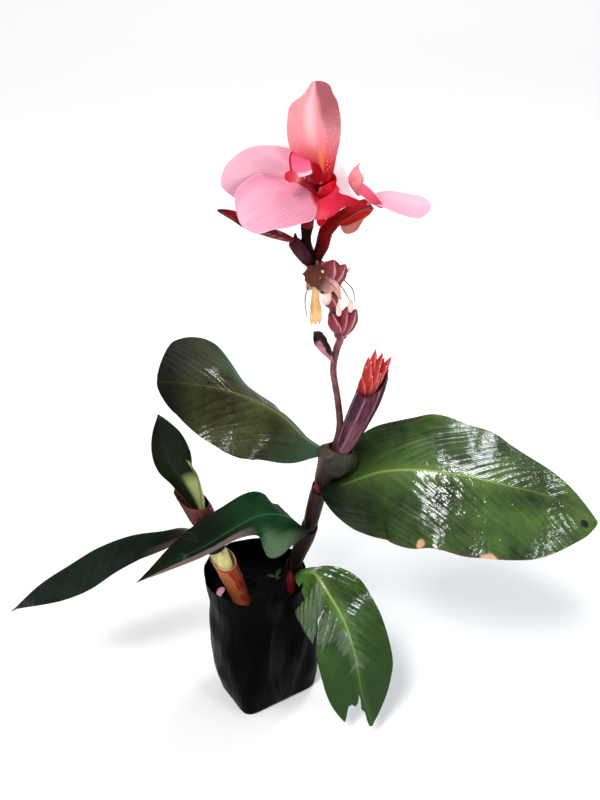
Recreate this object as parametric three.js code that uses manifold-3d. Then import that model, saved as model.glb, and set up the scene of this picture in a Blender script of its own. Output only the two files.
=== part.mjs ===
// A canna lily in flower, standing in a black nursery bag of potting mix.
// Millimetres, +Z up, origin under the bag's mouth on the surface that it stands on, +X to the right.
// Each leaf, petal, bract, bud and stem is a solid of its own; touching pieces keep a small gap.
import * as THREE from 'three';
import { mergeVertices } from 'three/addons/utils/BufferGeometryUtils.js';
import Module from 'manifold-3d';

const wasm = await Module();
wasm.setup();

// ---------------------------------------------------------------- driving dimensions
const seatGap = 0.3;             // clearance between pieces that touch
const soilGap = 0.9;             // between the mix and the bag's wall
const leafThickness = 0.9;
const petalThickness = 0.8;
const bagHeight = 136;
const bagWall = 1.2;
const soilLevel = 114;
const degree = Math.PI / 180;

// The flowering stem, from the rhizome up to the fork under the blooms, and its radius on the way.
const stemPath = [
  [19, 6, 84], [22.8, 6, 112], [31, 6, 148], [41.5, 6, 179], [47.5, 5, 208], [54, 4, 240], [59.5, 2.5, 262],
  [66.5, 1, 281], [70.6, 0, 306], [67.3, 0, 338], [63.5, 0, 364], [66, 0, 384], [69.6, 0, 398],
  [65, 0, 414.5], [58.7, 0, 431.5], [53.4, 0, 447], [48.6, 0, 462], [46.2, 0.2, 469],
];
const stemRadius = [6, 6.5, 6.5, 6.5, 6.2, 5.8, 5, 4, 3.3, 3, 3, 3.2, 3.2, 3, 2.8, 2.8, 3.2, 4];

// The young side shoot, from the rhizome to where its two leaves part.
const shootPath = [[-18, -22, 84], [-22.7, -20, 111], [-36, -17, 145], [-46, -14, 172], [-57, -10, 200]];
const shootRadius = [6.5, 6.8, 7.8, 8, 6];

// ---------------------------------------------------------------- curves and frames

/** The smooth value at t, from 0 to 1, through evenly spaced numbers: a Catmull-Rom curve. */
function along(values, t) {
  const last = values.length - 1;
  const place = Math.min(Math.max(t, 0), 1) * last;
  const i = Math.min(Math.floor(place), last - 1);
  const f = place - i;
  const b = values[i];
  const c = values[i + 1];
  const a = i > 0 ? values[i - 1] : 2 * b - c;
  const d = i < last - 1 ? values[i + 2] : 2 * c - b;
  const square = (2 * a - 5 * b + 4 * c - d) * f * f;
  const cube = (3 * b - a - 3 * c + d) * f * f * f;
  return 0.5 * (2 * b + (c - a) * f + square + cube);
}

/** The same curve through points or directions. */
function pointAlong(points, t) {
  const part = (k) => along(points.map((p) => p[k]), t);
  return new THREE.Vector3(part(0), part(1), part(2));
}

/** Unit direction in which a path runs at t. */
function directionAlong(points, t) {
  const step = 0.001;
  const ahead = pointAlong(points, Math.min(t + step, 1));
  return ahead.sub(pointAlong(points, Math.max(t - step, 0))).normalize();
}

/** Direction `facing`, leant until it is square to `forward`. */
function squareTo(forward, facing) {
  return facing.clone().addScaledVector(forward, -facing.dot(forward)).normalize();
}

/** Part of a path, from t = start to t = end, as evenly spaced points. */
function stretch(points, start, end, count) {
  const place = (i) => pointAlong(points, start + ((end - start) * i) / (count - 1)).toArray();
  return Array.from({ length: count }, (_, i) => place(i));
}

/** The t at which a rising path is `height` above the ground. */
function atHeight(points, height) {
  let low = 0;
  let high = 1;
  for (let i = 0; i < 40; i += 1) {
    const middle = (low + high) / 2;
    if (pointAlong(points, middle).z < height) low = middle;
    else high = middle;
  }
  return low;
}

// ---------------------------------------------------------------- solids

/** A geometry from corner points and triangles; triangles that close to a line are dropped. */
function toGeometry(points, triangles) {
  const geometry = new THREE.BufferGeometry();
  const kept = triangles.filter(([a, b, c]) => a !== b && b !== c && c !== a);
  const corners = points.flatMap((p) => [p.x, p.y, p.z]);
  geometry.setAttribute('position', new THREE.Float32BufferAttribute(corners, 3));
  geometry.setIndex(kept.flat());
  return geometry;
}

/** The same geometry as a solid that can be joined and cut. */
function toSolid(geometry) {
  const bare = geometry.clone();
  bare.deleteAttribute('normal');
  bare.deleteAttribute('uv');
  const merged = mergeVertices(bare, 1e-4);
  const mesh = new wasm.Mesh({
    numProp: 3,
    vertProperties: new Float32Array(merged.attributes.position.array),
    triVerts: new Uint32Array(merged.index.array),
  });
  mesh.merge();
  return new wasm.Manifold(mesh);
}

/** The geometry of a solid; only its largest body stays, so no cut leaves a scrap. */
function fromSolid(solid) {
  const bodies = solid.decompose().sort((a, b) => b.volume() - a.volume());
  const mesh = bodies[0].getMesh();
  const geometry = new THREE.BufferGeometry();
  const corners = [];
  for (let i = 0; i < mesh.vertProperties.length; i += mesh.numProp) {
    corners.push(...mesh.vertProperties.slice(i, i + 3));
  }
  geometry.setAttribute('position', new THREE.Float32BufferAttribute(corners, 3));
  geometry.setIndex(Array.from(mesh.triVerts));
  return geometry;
}

function join(...geometries) {
  return fromSolid(geometries.map(toSolid).reduce((whole, part) => whole.add(part)));
}

function cut(geometry, ...tools) {
  return fromSolid(tools.map(toSolid).reduce((whole, tool) => whole.subtract(tool), toSolid(geometry)));
}

/**
 * A closed body through rings of points that run the same way round; a ring of one point is a pole.
 * Each four-sided patch is split along its shorter diagonal.
 */
function skin(rings) {
  const points = [];
  const rows = rings.map((ring) => ring.map((point) => points.push(point) - 1));
  const around = Math.max(...rows.map((row) => row.length));
  const triangles = [];
  for (let i = 0; i < rows.length - 1; i += 1) {
    const here = (j) => rows[i][j % rows[i].length];
    const next = (j) => rows[i + 1][j % rows[i + 1].length];
    for (let j = 0; j < around; j += 1) {
      const across = points[here(j)].distanceTo(points[next(j + 1)]);
      const back = points[here(j + 1)].distanceTo(points[next(j)]);
      if (across < back) triangles.push([here(j), here(j + 1), next(j + 1)], [here(j), next(j + 1), next(j)]);
      else triangles.push([here(j), here(j + 1), next(j)], [here(j + 1), next(j + 1), next(j)]);
    }
  }
  return toGeometry(points, triangles);
}

/**
 * A round body along a path. `radius` is listed along the path; `flat` narrows it across `facing`.
 * Small ridges can run along it. `grow` makes it fatter and longer, for cutting its seat in another.
 */
function tube(shape, grow = 0) {
  const { path, radius, sides = 8, rows = 8, flat = 1, ridges = 0, ridge = 0 } = shape;
  const front = new THREE.Vector3(...(shape.facing ?? [0.3, -1, 0.2]));
  const rings = [];
  for (let i = 0; i <= rows; i += 1) {
    const t = i / rows;
    const forward = directionAlong(path, t);
    const longer = (i === rows ? grow : 0) - (i === 0 ? grow : 0);
    const centre = pointAlong(path, t).addScaledVector(forward, longer);
    const up = squareTo(forward, front);
    const side = new THREE.Vector3().crossVectors(forward, up);
    const size = Math.max(along(radius, t), 0);
    const ring = [];
    for (let j = 0; j < sides; j += 1) {
      const angle = (2 * Math.PI * j) / sides;
      const r = size * (1 + ridge * Math.cos(ridges * angle));
      const point = centre.clone().addScaledVector(side, (r + grow) * Math.sin(angle));
      ring.push(point.addScaledVector(up, (r * flat + grow) * Math.cos(angle)));
    }
    if (i === 0) rings.push([centre]);
    if (size + grow > 0.05) rings.push(ring);
    if (i === rows) rings.push([centre]);
  }
  return skin(rings);
}

/** A point of a blade's middle surface; q runs from -1 at the left margin to 1 at the right one. */
function bladePoint(blade, t, q) {
  const centre = pointAlong(blade.spine, t);
  const forward = directionAlong(blade.spine, t);
  const face = squareTo(forward, pointAlong(blade.face, t));
  const right = new THREE.Vector3().crossVectors(forward, face);
  const onRight = q >= 0;
  const fold = along(onRight ? blade.foldRight : blade.foldLeft, t) * degree;
  const curl = along(onRight ? blade.curlRight : blade.curlLeft, t) * degree + 1e-4;
  const tip = blade.roundTip ?? 0.03;
  const rounding = t > 1 - tip ? Math.sqrt(Math.max(1 - ((t - 1 + tip) / tip) ** 2, 0)) : 1;
  const width = Math.max(along(onRight ? blade.right : blade.left, t), 0) * rounding;
  const v = Math.abs(q);
  const out = (width * (Math.sin(fold + curl * v) - Math.sin(fold))) / curl;
  const rise = (width * (Math.cos(fold) - Math.cos(fold + curl * v))) / curl;
  const phase = 2 * Math.PI * (blade.waves ?? 3) * t + (onRight ? 0 : 2);
  const wave = (blade.wave ?? 0) * v * v * rounding * Math.sin(phase);
  return centre.addScaledVector(right, onRight ? out : -out).addScaledVector(face, rise + wave);
}

/**
 * A closed thin leaf, petal or bract on a bent spine. `face` is the way its upper side looks, `left`
 * and `right` the half widths, `fold` and `curl` how each half turns up from the spine and then bends.
 * A rib can stand out along the underside.
 */
function blade(shape, grow = 0) {
  const { rows = 9, columns = 6, crowd = 1.25, rib = [0, 0] } = shape;
  const thickness = (shape.thickness ?? petalThickness) + 2 * grow;
  const wider = grow > 0 ? shape.spread ?? 1.03 : 1;
  const row = (i) => 1 - (1 - i / rows) ** crowd;
  const column = (j) => {
    const q = (2 * j) / columns - 1;
    return Math.sign(q) * Math.abs(q) ** 1.15;
  };
  const middle = [];
  for (let i = 0; i <= rows; i += 1) {
    middle.push(Array.from({ length: columns + 1 }, (_, j) => bladePoint(shape, row(i), wider * column(j))));
  }
  const lengthen = (end, inner) => {
    const outward = end[columns / 2].clone().sub(inner[columns / 2]).setLength(grow);
    end.forEach((point) => point.add(outward));
  };
  lengthen(middle[0], middle[1]);
  lengthen(middle[rows], middle[rows - 1]);
  const points = [];
  const top = [];
  const bottom = [];
  for (let i = 0; i <= rows; i += 1) {
    const pinched = middle[i][0].distanceTo(middle[i][columns]) < 0.05;
    const upper = [];
    const lower = [];
    for (let j = 0; j <= columns; j += 1) {
      if (pinched && j > 0) {
        upper.push(upper[0]);
        lower.push(lower[0]);
        continue;
      }
      const across = pinched
        ? middle[Math.abs(i - 1)][columns].clone().sub(middle[Math.abs(i - 1)][0])
        : middle[i][Math.min(j + 1, columns)].clone().sub(middle[i][Math.max(j - 1, 0)]);
      const forward = middle[Math.min(i + 1, rows)][j].clone().sub(middle[Math.max(i - 1, 0)][j]);
      const normal = across.cross(forward).normalize();
      const ribDepth = j === columns / 2 && !pinched ? Math.max(along(rib, row(i)), 0) : 0;
      upper.push(points.push(middle[i][j].clone().addScaledVector(normal, thickness / 2)) - 1);
      lower.push(points.push(middle[i][j].clone().addScaledVector(normal, -thickness / 2 - ribDepth)) - 1);
    }
    top.push(upper);
    bottom.push(lower);
  }
  const triangles = [];
  const quad = (a, b, c, d) => triangles.push([a, b, c], [b, d, c]);
  for (let i = 0; i < rows; i += 1) {
    for (let j = 0; j < columns; j += 1) {
      quad(top[i][j], top[i][j + 1], top[i + 1][j], top[i + 1][j + 1]);
      triangles.push([bottom[i][j], bottom[i + 1][j], bottom[i][j + 1]]);
      triangles.push([bottom[i][j + 1], bottom[i + 1][j], bottom[i + 1][j + 1]]);
    }
    quad(bottom[i][0], top[i][0], bottom[i + 1][0], top[i + 1][0]);
    quad(top[i][columns], bottom[i][columns], top[i + 1][columns], bottom[i + 1][columns]);
  }
  for (let j = 0; j < columns; j += 1) {
    quad(bottom[0][j], bottom[0][j + 1], top[0][j], top[0][j + 1]);
    quad(top[rows][j], top[rows][j + 1], bottom[rows][j], bottom[rows][j + 1]);
  }
  return toGeometry(points, triangles);
}

/**
 * A sheath or bract that wraps round, closed below and open above: a cup along a path. Its mouth is
 * cut slanting, from t = mouthLow, on the side that `facing` looks to, up to t = 1 at its back.
 * A cup that grows, for cutting its seat in another piece, is filled.
 */
function cup(shape, grow = 0) {
  const { path, radius, wall = 1, mouthLow = 0.7, flat = 1, sides = 10, rows = 5, floor = 0.06 } = shape;
  const front = new THREE.Vector3(...(shape.facing ?? [0, -1, 0.2]));
  const ring = (s, inset) => {
    const points = [];
    for (let j = 0; j < sides; j += 1) {
      const angle = (2 * Math.PI * j) / sides;
      const t = s * (mouthLow + (1 - mouthLow) * (0.5 - 0.5 * Math.cos(angle)));
      const forward = directionAlong(path, t);
      const up = squareTo(forward, front);
      const side = new THREE.Vector3().crossVectors(forward, up);
      const r = along(radius, t) - inset;
      const point = pointAlong(path, t).addScaledVector(side, r * Math.sin(angle));
      points.push(point.addScaledVector(up, (along(radius, t) * flat - inset) * Math.cos(angle)));
    }
    return points;
  };
  const foot = directionAlong(path, 0).multiplyScalar(-grow);
  const rings = [[pointAlong(path, 0).add(foot)], ring(0, -grow).map((point) => point.add(foot))];
  for (let i = 1; i <= rows; i += 1) rings.push(ring(i / rows, -grow));
  if (grow > 0) return skin([...rings, [pointAlong(path, 0.5 * (1 + mouthLow))]]);
  for (let i = rows; i >= 0; i -= 1) rings.push(ring(floor + ((1 - floor) * i) / rows, wall));
  rings.push([pointAlong(path, floor * 0.5 * (1 + mouthLow))]);
  return skin(rings);
}

// ---------------------------------------------------------------- finishes and the group
const group = new THREE.Group();

function addPart(name, geometry, color, roughness = 0.5) {
  const finished = geometry.clone();
  finished.computeVertexNormals();
  const mesh = new THREE.Mesh(finished, new THREE.MeshStandardMaterial({ color, roughness, metalness: 0 }));
  mesh.name = name;
  group.add(mesh);
}

// ---------------------------------------------------------------- bag and potting mix
const bagHeights = [3, 20, 45, 70, 95, soilLevel - 3, 123, bagHeight];

/** The bag's outline at a height: an oblong with corners below that turns round towards the mouth. */
function bagPoint(angle, height, inset) {
  const t = height / bagHeight;
  const turn = 32.7 * degree;
  const long = along([44, 52, 54, 53, 52.5], t) - inset;
  const short = along([29.5, 42, 48, 50, 52.5], t) - inset;
  const squareness = along([7, 3.4, 2.6, 2.2, 2], t);
  const c = Math.abs(Math.cos(angle - turn) / long) ** squareness;
  const s = Math.abs(Math.sin(angle - turn) / short) ** squareness;
  const creases = 0.5 * Math.sin(5 * angle + height / 9) + 0.5 * Math.sin(8 * angle - height / 13);
  const radius = (c + s) ** (-1 / squareness) + creases * Math.sin(Math.PI * t);
  const x = along([1, -2, -3.5, -5, -11], t) + radius * Math.cos(angle);
  const y = along([-20, -12, -6, -2, 0], t) + radius * Math.sin(angle);
  return new THREE.Vector3(x, y, height);
}

function bagRing(height, inset, shrink = 1) {
  const sides = 22;
  const middle = bagPoint(0, height, inset).add(bagPoint(Math.PI, height, inset)).multiplyScalar(0.5);
  const place = (j) => bagPoint((2 * Math.PI * j) / sides, height, inset).sub(middle);
  return Array.from({ length: sides }, (_, j) => place(j).multiplyScalar(shrink).add(middle));
}

function bagGeometry() {
  const pole = (height) => [new THREE.Vector3(0, -18, height)];
  const outer = bagHeights.map((height) => bagRing(height, 0));
  const inner = bagHeights.map((height) => bagRing(height, bagWall)).reverse();
  const floor = bagRing(bagWall, bagWall, 0.955);
  return skin([pole(0), bagRing(0, 0, 0.965), ...outer, ...inner, floor, pole(bagWall)]);
}

/** The space that the bag takes up, filled, for cutting what hangs past its mouth. */
function bagBlock(grow) {
  const rings = bagHeights.map((height) => bagRing(height, -grow));
  const lid = rings[rings.length - 1].map((p) => p.clone().setZ(bagHeight + grow));
  return skin([[new THREE.Vector3(0, -18, 3)], ...rings, lid, [new THREE.Vector3(-11, 0, bagHeight + grow)]]);
}

function soilBlock() {
  const inset = bagWall + soilGap;
  const base = bagWall + seatGap;
  const walls = bagHeights.filter((height) => height < soilLevel).map((height) => bagRing(height, inset));
  const bumps = (x, y) => 1.6 * Math.sin(x / 7) * Math.cos(y / 6) + 1.1 * Math.sin((x + 2 * y) / 9);
  const top = [0.84, 0.6, 0.34].map((shrink) => bagRing(soilLevel - 3, inset, shrink).map((p) => {
    p.z = soilLevel + bumps(p.x, p.y) + 3 * (0.6 - shrink);
    return p;
  }));
  const underside = [[new THREE.Vector3(0, -18, base)], bagRing(base, inset, 0.95)];
  return skin([...underside, ...walls, ...top, [new THREE.Vector3(-11, 0, soilLevel + 2)]]);
}

/** Knobbly underground stem with fleshy roots; both shoots grow from it. */
function rhizome(grow = 0) {
  const body = tube({
    path: [[31, 11, 92], [20, 6, 82], [6, -2, 78], [-8, -12, 78], [-20, -23, 82], [-29, -30, 90]],
    radius: [0, 11, 11.5, 10, 10.5, 0], sides: 7, rows: 7, ridges: 3, ridge: 0.06,
  }, grow);
  const root = (turn, from) => {
    const x = Math.cos(turn * degree);
    const y = Math.sin(turn * degree);
    const side = from * 0.55 - 4;
    const bend = [from + 14 * x, side + 14 * y, 62];
    const path = [[from, side, 78], bend, [from + 20 * x, side - 8 + 18 * y, 30]];
    return tube({ path, radius: [2.4, 2, 0.9], sides: 4, rows: 3 }, grow);
  };
  const roots = [[-50, 20], [30, 4], [150, 10], [310, -14]];
  return join(body, ...roots.map(([turn, from]) => root(turn, from)));
}

// ---------------------------------------------------------------- leaves

const upperLeftLeaf = {
  spine: [
    [60, 0.5, 277], [41.4, 3, 287.4], [19.3, 7, 309.8], [-0.9, 12, 321.3], [-24.6, 15, 331.2],
    [-48.2, 16, 337.5], [-70.6, 14, 342.2], [-95.5, 10, 346.6],
  ],
  face: [[-0.3, -0.35, 0.9], [-0.15, -0.35, 0.9], [0, -0.35, 0.94], [0, -0.4, 0.92], [0, -0.45, 0.9],
    [-0.1, -0.5, 0.85], [-0.2, -0.5, 0.8]],
  left: [4.5, 14, 34, 48, 53.5, 55.5, 56, 53.5, 48, 41, 30, 18],
  right: [4, 14, 28, 40, 46, 46, 42, 48, 60, 60, 50, 30],
  foldLeft: [-10, -15, -10, -5, -3, 0],
  foldRight: [-50, -52, -46, -38, -14, -5, 0],
  curlLeft: [0, -10, -15, -15, -10],
  curlRight: [0, -8, -10, -10, -10],
  wave: 1.2, waves: 3.2, rib: [2.2, 1.8, 1.2, 0.6, 0.2], roundTip: 0.09,
};

const rightLeaf = {
  spine: [
    [54, -3, 235], [76, -12, 249.4], [107.4, -20, 268.3], [142.5, -30, 277.3], [177.5, -38, 277.3],
    [212.7, -45, 272.3], [257.6, -50, 261.7], [303.9, -52, 235.4],
  ],
  face: [[-0.3, -0.3, 0.9], [0, -0.35, 0.94], [0, -0.35, 0.94], [0, -0.35, 0.94], [0.1, -0.35, 0.94]],
  left: [5, 18, 43, 63, 73, 74, 68, 60, 45, 25, 4],
  right: [5, 32, 56, 66, 70, 70, 70, 69, 64, 50, 10],
  foldLeft: [10, 0, -8, -8, -5, 0],
  foldRight: [-10, -28, -28, -24, -20, -10],
  curlLeft: [0, 0, 0, -5, -10],
  curlRight: [0, 0, 0, -5, -5],
  wave: 1.8, waves: 4.3, rib: [2.2, 2, 1.4, 0.8, 0.2],
};

const lowerRightLeaf = {
  spine: [
    [31, -1.5, 134], [42.8, -18, 149.1], [50.3, -34, 157.5], [61.2, -50, 148.9], [76.4, -66, 127.8],
    [86.8, -78, 96.4], [93.3, -86, 59.8], [105.5, -92, 17],
  ],
  face: [[-0.2, -0.5, 0.85], [-0.1, -0.6, 0.8], [0, -0.75, 0.65], [0, -0.9, 0.45], [0.1, -0.9, 0.35],
    [0.1, -1, 0.25], [0.1, -1, 0.1]],
  left: [4, 7, 11, 22, 31.5, 35.5, 36.5, 39, 39, 37, 25.5, 0],
  right: [4, 22, 62, 56, 45, 46.5, 45.5, 40, 39, 36, 30, 0],
  foldLeft: [-20, -20, -20, -20, -15, -10],
  foldRight: [15, -35, -35, -22, -18, -15, -10],
  curlLeft: [-10, -10],
  curlRight: [0, -10, -10, 0],
  wave: 0.8, waves: 3.6, rib: [1.4, 1.4, 1.2, 0.8, 0.2],
};

// The lower right leaf is torn at its tip and beside its base; each tear is an outline in the slope of
// the leaf, in millimetres right and up from the corner that is given with it.
const lowerRightTears = [
  { corner: [105.5, -92, 17], depth: 60, outline: [
    [-26, -8], [-26, 10.7], [-25.5, 21.8], [-18.2, 22.8], [-15.3, 25.2], [-14.4, 34.9], [-12.4, 30],
    [-11.4, 17.5], [-7.6, 15.5], [-4.7, 4.8], [-1.7, -8],
  ] },
  { corner: [59, -58, 140], depth: 60, outline: [
    [0, 0], [-8.1, -15.3], [-10, -27.7], [-13.8, -43], [-22, -54.4], [-9.5, -54.4], [-8.6, -31.5],
    [-6.7, -16.2],
  ] },
];

const lowerLeftLeaf = {
  spine: [
    [39, 1, 186], [27, -5, 203], [12, -14, 216], [-6, -22, 219.5], [-26, -29, 212], [-55.3, -36, 195.4],
    [-88.5, -42, 179.9], [-121.7, -46, 159],
  ],
  face: [[-0.6, -0.2, 0.8], [-0.3, -0.2, 0.9], [-0.1, -0.3, 0.95], [-0.1, -0.4, 0.9], [-0.1, -0.4, 0.9]],
  left: [4, 24, 42, 38, 26, 20, 18, 14, 8, 0],
  right: [8, 29, 28, 26, 24, 24, 23, 18, 9, 0],
  foldLeft: [-20, -60, -75, -80, -85, -80, -60],
  foldRight: [10, 5, 12, 36, 42, 40, 30],
  curlLeft: [0, -5, -10, -10],
  curlRight: [0, -5, -10, -10],
  wave: 1.4, waves: 3, rib: [1.8, 1.6, 1.2, 0.8, 0.2],
};

const farLeftLeaf = {
  spine: [
    [-56, -10.5, 184], [-80, -3, 189.5], [-101.3, -8, 190.8], [-129.4, -14, 190.1], [-160.1, -20, 180.3],
    [-188, -25, 163.6], [-219.8, -28, 141], [-250.5, -30, 109.7],
  ],
  face: [[0, 0, 1], [0, -0.1, 1], [0, -0.1, 1], [0, -0.1, 1]],
  left: [4, 12, 22, 30, 33, 32, 28, 20, 0],
  right: [4, 12, 22, 30, 33, 32, 28, 20, 0],
  foldLeft: [-40, -50, -55, -55, -50],
  foldRight: [-30, -40, -45, -45, -40],
  curlLeft: [-10, -15, -15, -10],
  curlRight: [-10, -15, -15, -10],
  rows: 12, wave: 0.8, waves: 2.6, rib: [1.6, 1.2, 0.8, 0.2],
};

const youngLeaf = {
  spine: [
    [-58.5, -7, 203], [-69, -1, 226], [-79.8, 3, 245.9], [-88.5, 5, 261.6], [-93.1, 6, 278.8],
    [-95.5, 6, 297.5], [-96, 5, 315.3],
  ],
  face: [[0.3, -1, 0], [0.1, -1, 0], [0.1, -1, 0], [0.3, -1, 0]],
  left: [5, 9, 11, 14, 13, 8, 0],
  right: [9, 28, 38, 36, 32, 20, 0],
  foldLeft: [20, 10, 10, 10],
  foldRight: [0, 0, 0, 0],
  curlLeft: [110, 60, 40, 30, 30],
  curlRight: [170, 110, 85, 60, 30],
  rows: 12, columns: 10, rib: [0.6, 0.4, 0.1], roundTip: 0.04,
};

// The sheath that the upper left leaf wraps round the stem; it bulges open round the flower stalk.
const upperSheath = {
  path: [[55, 3, 242.5], [58.5, 1.5, 253], [64.5, -1, 264.4], [69.5, -2, 275], [72, -2.5, 285]],
  radius: [7.6, 10, 15.5, 19, 10.5], flat: 0.8, mouthLow: 0.95, wall: 1.2, sides: 10, rows: 6,
};

/** A tear as a solid to cut with: its outline, square to a slope of 60 degrees, put at its corner. */
function tear({ corner, depth, outline }) {
  const shape = new THREE.Shape(outline.map(([x, y]) => new THREE.Vector2(x, y)));
  const solid = new THREE.ExtrudeGeometry(shape, { depth, bevelEnabled: false });
  return solid.translate(0, 0, -depth / 2).rotateX(60 * degree).translate(...corner);
}

/** A leaf's sheath round its stem, between two heights. */
function collar(path, low, high, radius) {
  const start = atHeight(path, low);
  const end = atHeight(path, high);
  return tube({ path: stretch(path, start, end, 5), radius, sides: 8, rows: 4 });
}

// ---------------------------------------------------------------- buds, bracts and pods

// The sheathing bract of the next flower head, and the buds that stand out of it.
const spatheShape = {
  path: [[68.3, -3, 271], [72.1, -4, 281], [79.6, -9, 302], [87.2, -11, 323], [94.4, -12, 343],
    [99, -12.5, 360], [102, -13, 376]],
  radius: [4, 6.5, 10, 11.8, 12.6, 12.4, 10.2], flat: 0.85, mouthLow: 0.69, facing: [-0.85, -0.6, 0.1],
};

function sideBuds(grow = 0) {
  const base = [92, -11.5, 336];
  const tips = [
    [99.6, -11, 390.7], [105.7, -12, 387.8], [113.4, -12, 383.9], [91.3, -15, 375.8], [95.4, -17, 381.2],
    [103.2, -18, 377.8], [109.5, -15, 376.2], [87.8, -16, 366], [97, -19, 368], [104.5, -18, 370],
    [94, -5, 380], [108, -5, 379],
  ];
  const bud = (tip) => {
    const middle = tip.map((value, k) => base[k] + (value - base[k]) * 0.55);
    return tube({ path: [base, middle, tip], radius: [1.5, 4.2, 3.9, 0], sides: 5, rows: 4 }, grow);
  };
  const core = tube({ path: [[88, -11, 326], [95, -12, 350]], radius: [0, 7, 6, 0], rows: 5 }, grow);
  return join(core, ...tips.map(bud));
}

// The shed bract's scoop at the first node of the flower stalk.
const stalkBract = {
  spine: [[63.4, -2.6, 374.5], [59, -5, 386], [54.5, -5.5, 395], [47, -6, 403]],
  face: [[-0.8, -0.8, 0.1], [-0.6, -0.9, 0], [-0.5, -0.9, -0.2]],
  left: [3, 7, 8.5, 7], right: [3, 7, 8.5, 7],
  foldLeft: [15, 15], foldRight: [15, 15], curlLeft: [25, 40], curlRight: [25, 40],
  rows: 7, columns: 4, roundTip: 0.3,
};

/** A pod or bud: a spindle from one point to another, a little ribbed. */
function spindle(from, to, fat, grow = 0) {
  const radius = [fat * 0.35, fat, fat, 0];
  return tube({ path: [from, to], radius, sides: 6, rows: 4, ridges: 3, ridge: 0.06 }, grow);
}

function podsUpper(grow = 0) {
  const pods = [
    [[58, -3, 452], [62, -7, 471], 7.4], [[61, -3, 448], [72, -7, 467], 5.8],
    [[57, -2, 446], [74, -3, 460], 5.4], [[54, -3, 455], [36, -6, 458], 4],
    [[58, -3, 450], [49, 6, 466], 5.8], [[62, 0, 440], [68, 8, 458], 5.6],
    [[64, -1, 424], [56.5, -10, 444], 6],
  ];
  const ring = tube({ path: stretch(stemPath, 0.845, 0.93, 3), radius: [5, 6, 5], rows: 3 }, grow);
  return join(ring, ...pods.map(([from, to, fat]) => spindle(from, to, fat, grow)));
}

function podsLower(grow = 0) {
  const pods = [
    [[71, -2, 398], [82, -6, 426], 6], [[69, -3, 400], [74, -9, 428], 4.6],
    [[67, -3, 401], [61, -8, 423], 5.2], [[67, -2, 402], [66, -10, 416], 4.8],
    [[70, 2, 400], [75, 8, 422], 4.8], [[68, 2, 402], [60, 6, 420], 4.6],
  ];
  const ring = tube({ path: stretch(stemPath, 0.69, 0.75, 3), radius: [4.8, 6, 5.4], rows: 3 }, grow);
  return join(ring, ...pods.map(([from, to, fat]) => spindle(from, to, fat, grow)));
}

// What is left of a spent flower: one brown folded wrap, and one tan petal that hangs from it.
const witheredWrap = {
  spine: [[45, -11, 464], [54, -14, 457], [64, -14, 448], [68.5, -11, 436]],
  face: [[-0.2, -1, 0.4], [-0.2, -1, 0.2], [0.2, -1, 0.2]],
  left: [5, 9, 8, 5, 1.5], right: [6, 9, 8, 5, 1.5],
  foldLeft: [-20, -30, -20], foldRight: [-15, -25, -20], curlLeft: [-50, -60], curlRight: [-50, -60],
  rows: 7, columns: 4, wave: 1.5, waves: 3, roundTip: 0.1,
};
const witheredPetal = {
  spine: [[50, -13.5, 459], [46.5, -12, 444], [46.7, -10.5, 430], [47.2, -9.5, 418], [47.2, -9, 411]],
  face: [[-0.3, -1, 0], [-0.2, -1, 0], [0.1, -1, 0.1]],
  left: [2, 4, 5, 5.5, 5.2], right: [2, 3, 4, 5, 4.6],
  foldLeft: [20, -10, 20], foldRight: [-20, -30, -10], curlLeft: [20, 30], curlRight: [20, 30],
  rows: 7, columns: 4, wave: 1.6, waves: 2.5, roundTip: 0.05,
};

// ---------------------------------------------------------------- the two open flowers

// Each flower's stalk: the ovary on the stem, and the tube that widens to the throat.
const frontOvary = {
  path: [[45.7, 0, 464.3], [42.3, -1, 473.6], [39.8, -2, 482.8], [39.2, -2.5, 490], [39.7, -3.5, 499]],
  radius: [4, 4, 3.8, 4, 5.6],
};
const backOvary = {
  path: [[47, 1, 464.8], [49, 2, 471.1], [52.3, 3, 479.1], [53.9, 4, 485.3], [55.9, 6, 491.6],
    [60, 8, 496.9]],
  radius: [4, 4.6, 5.6, 5.6, 5.8, 6],
};
const leftOvary = {
  path: [[43.2, 0, 463.4], [35.7, -1.5, 476.5], [27.8, -4, 486.2]], radius: [3.8, 6.4, 6.6, 4.6],
};
const frontTube = {
  path: [[39.9, -4, 499.8], [41.3, -5, 508], [44.5, -6, 515.9], [48, -7, 527]], radius: [5.4, 4.8, 5, 6.5],
};
const frontFunnel = {
  path: [[47.6, -7, 524], [49.6, -7.5, 531], [50.6, -10, 537.5], [50, -14.5, 543.5]],
  radius: [5, 9, 13.5, 17], mouthLow: 0.6, facing: [-0.25, -1, 0.2], sides: 12, rows: 4,
};
const backTube = {
  path: [[61, 8.3, 497.8], [67.9, 11, 501.5], [75.4, 13.5, 505.8], [82.8, 15, 510], [88.5, 15, 512.1]],
  radius: [5.9, 5.2, 4.4, 3.6, 3.2],
};

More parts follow.
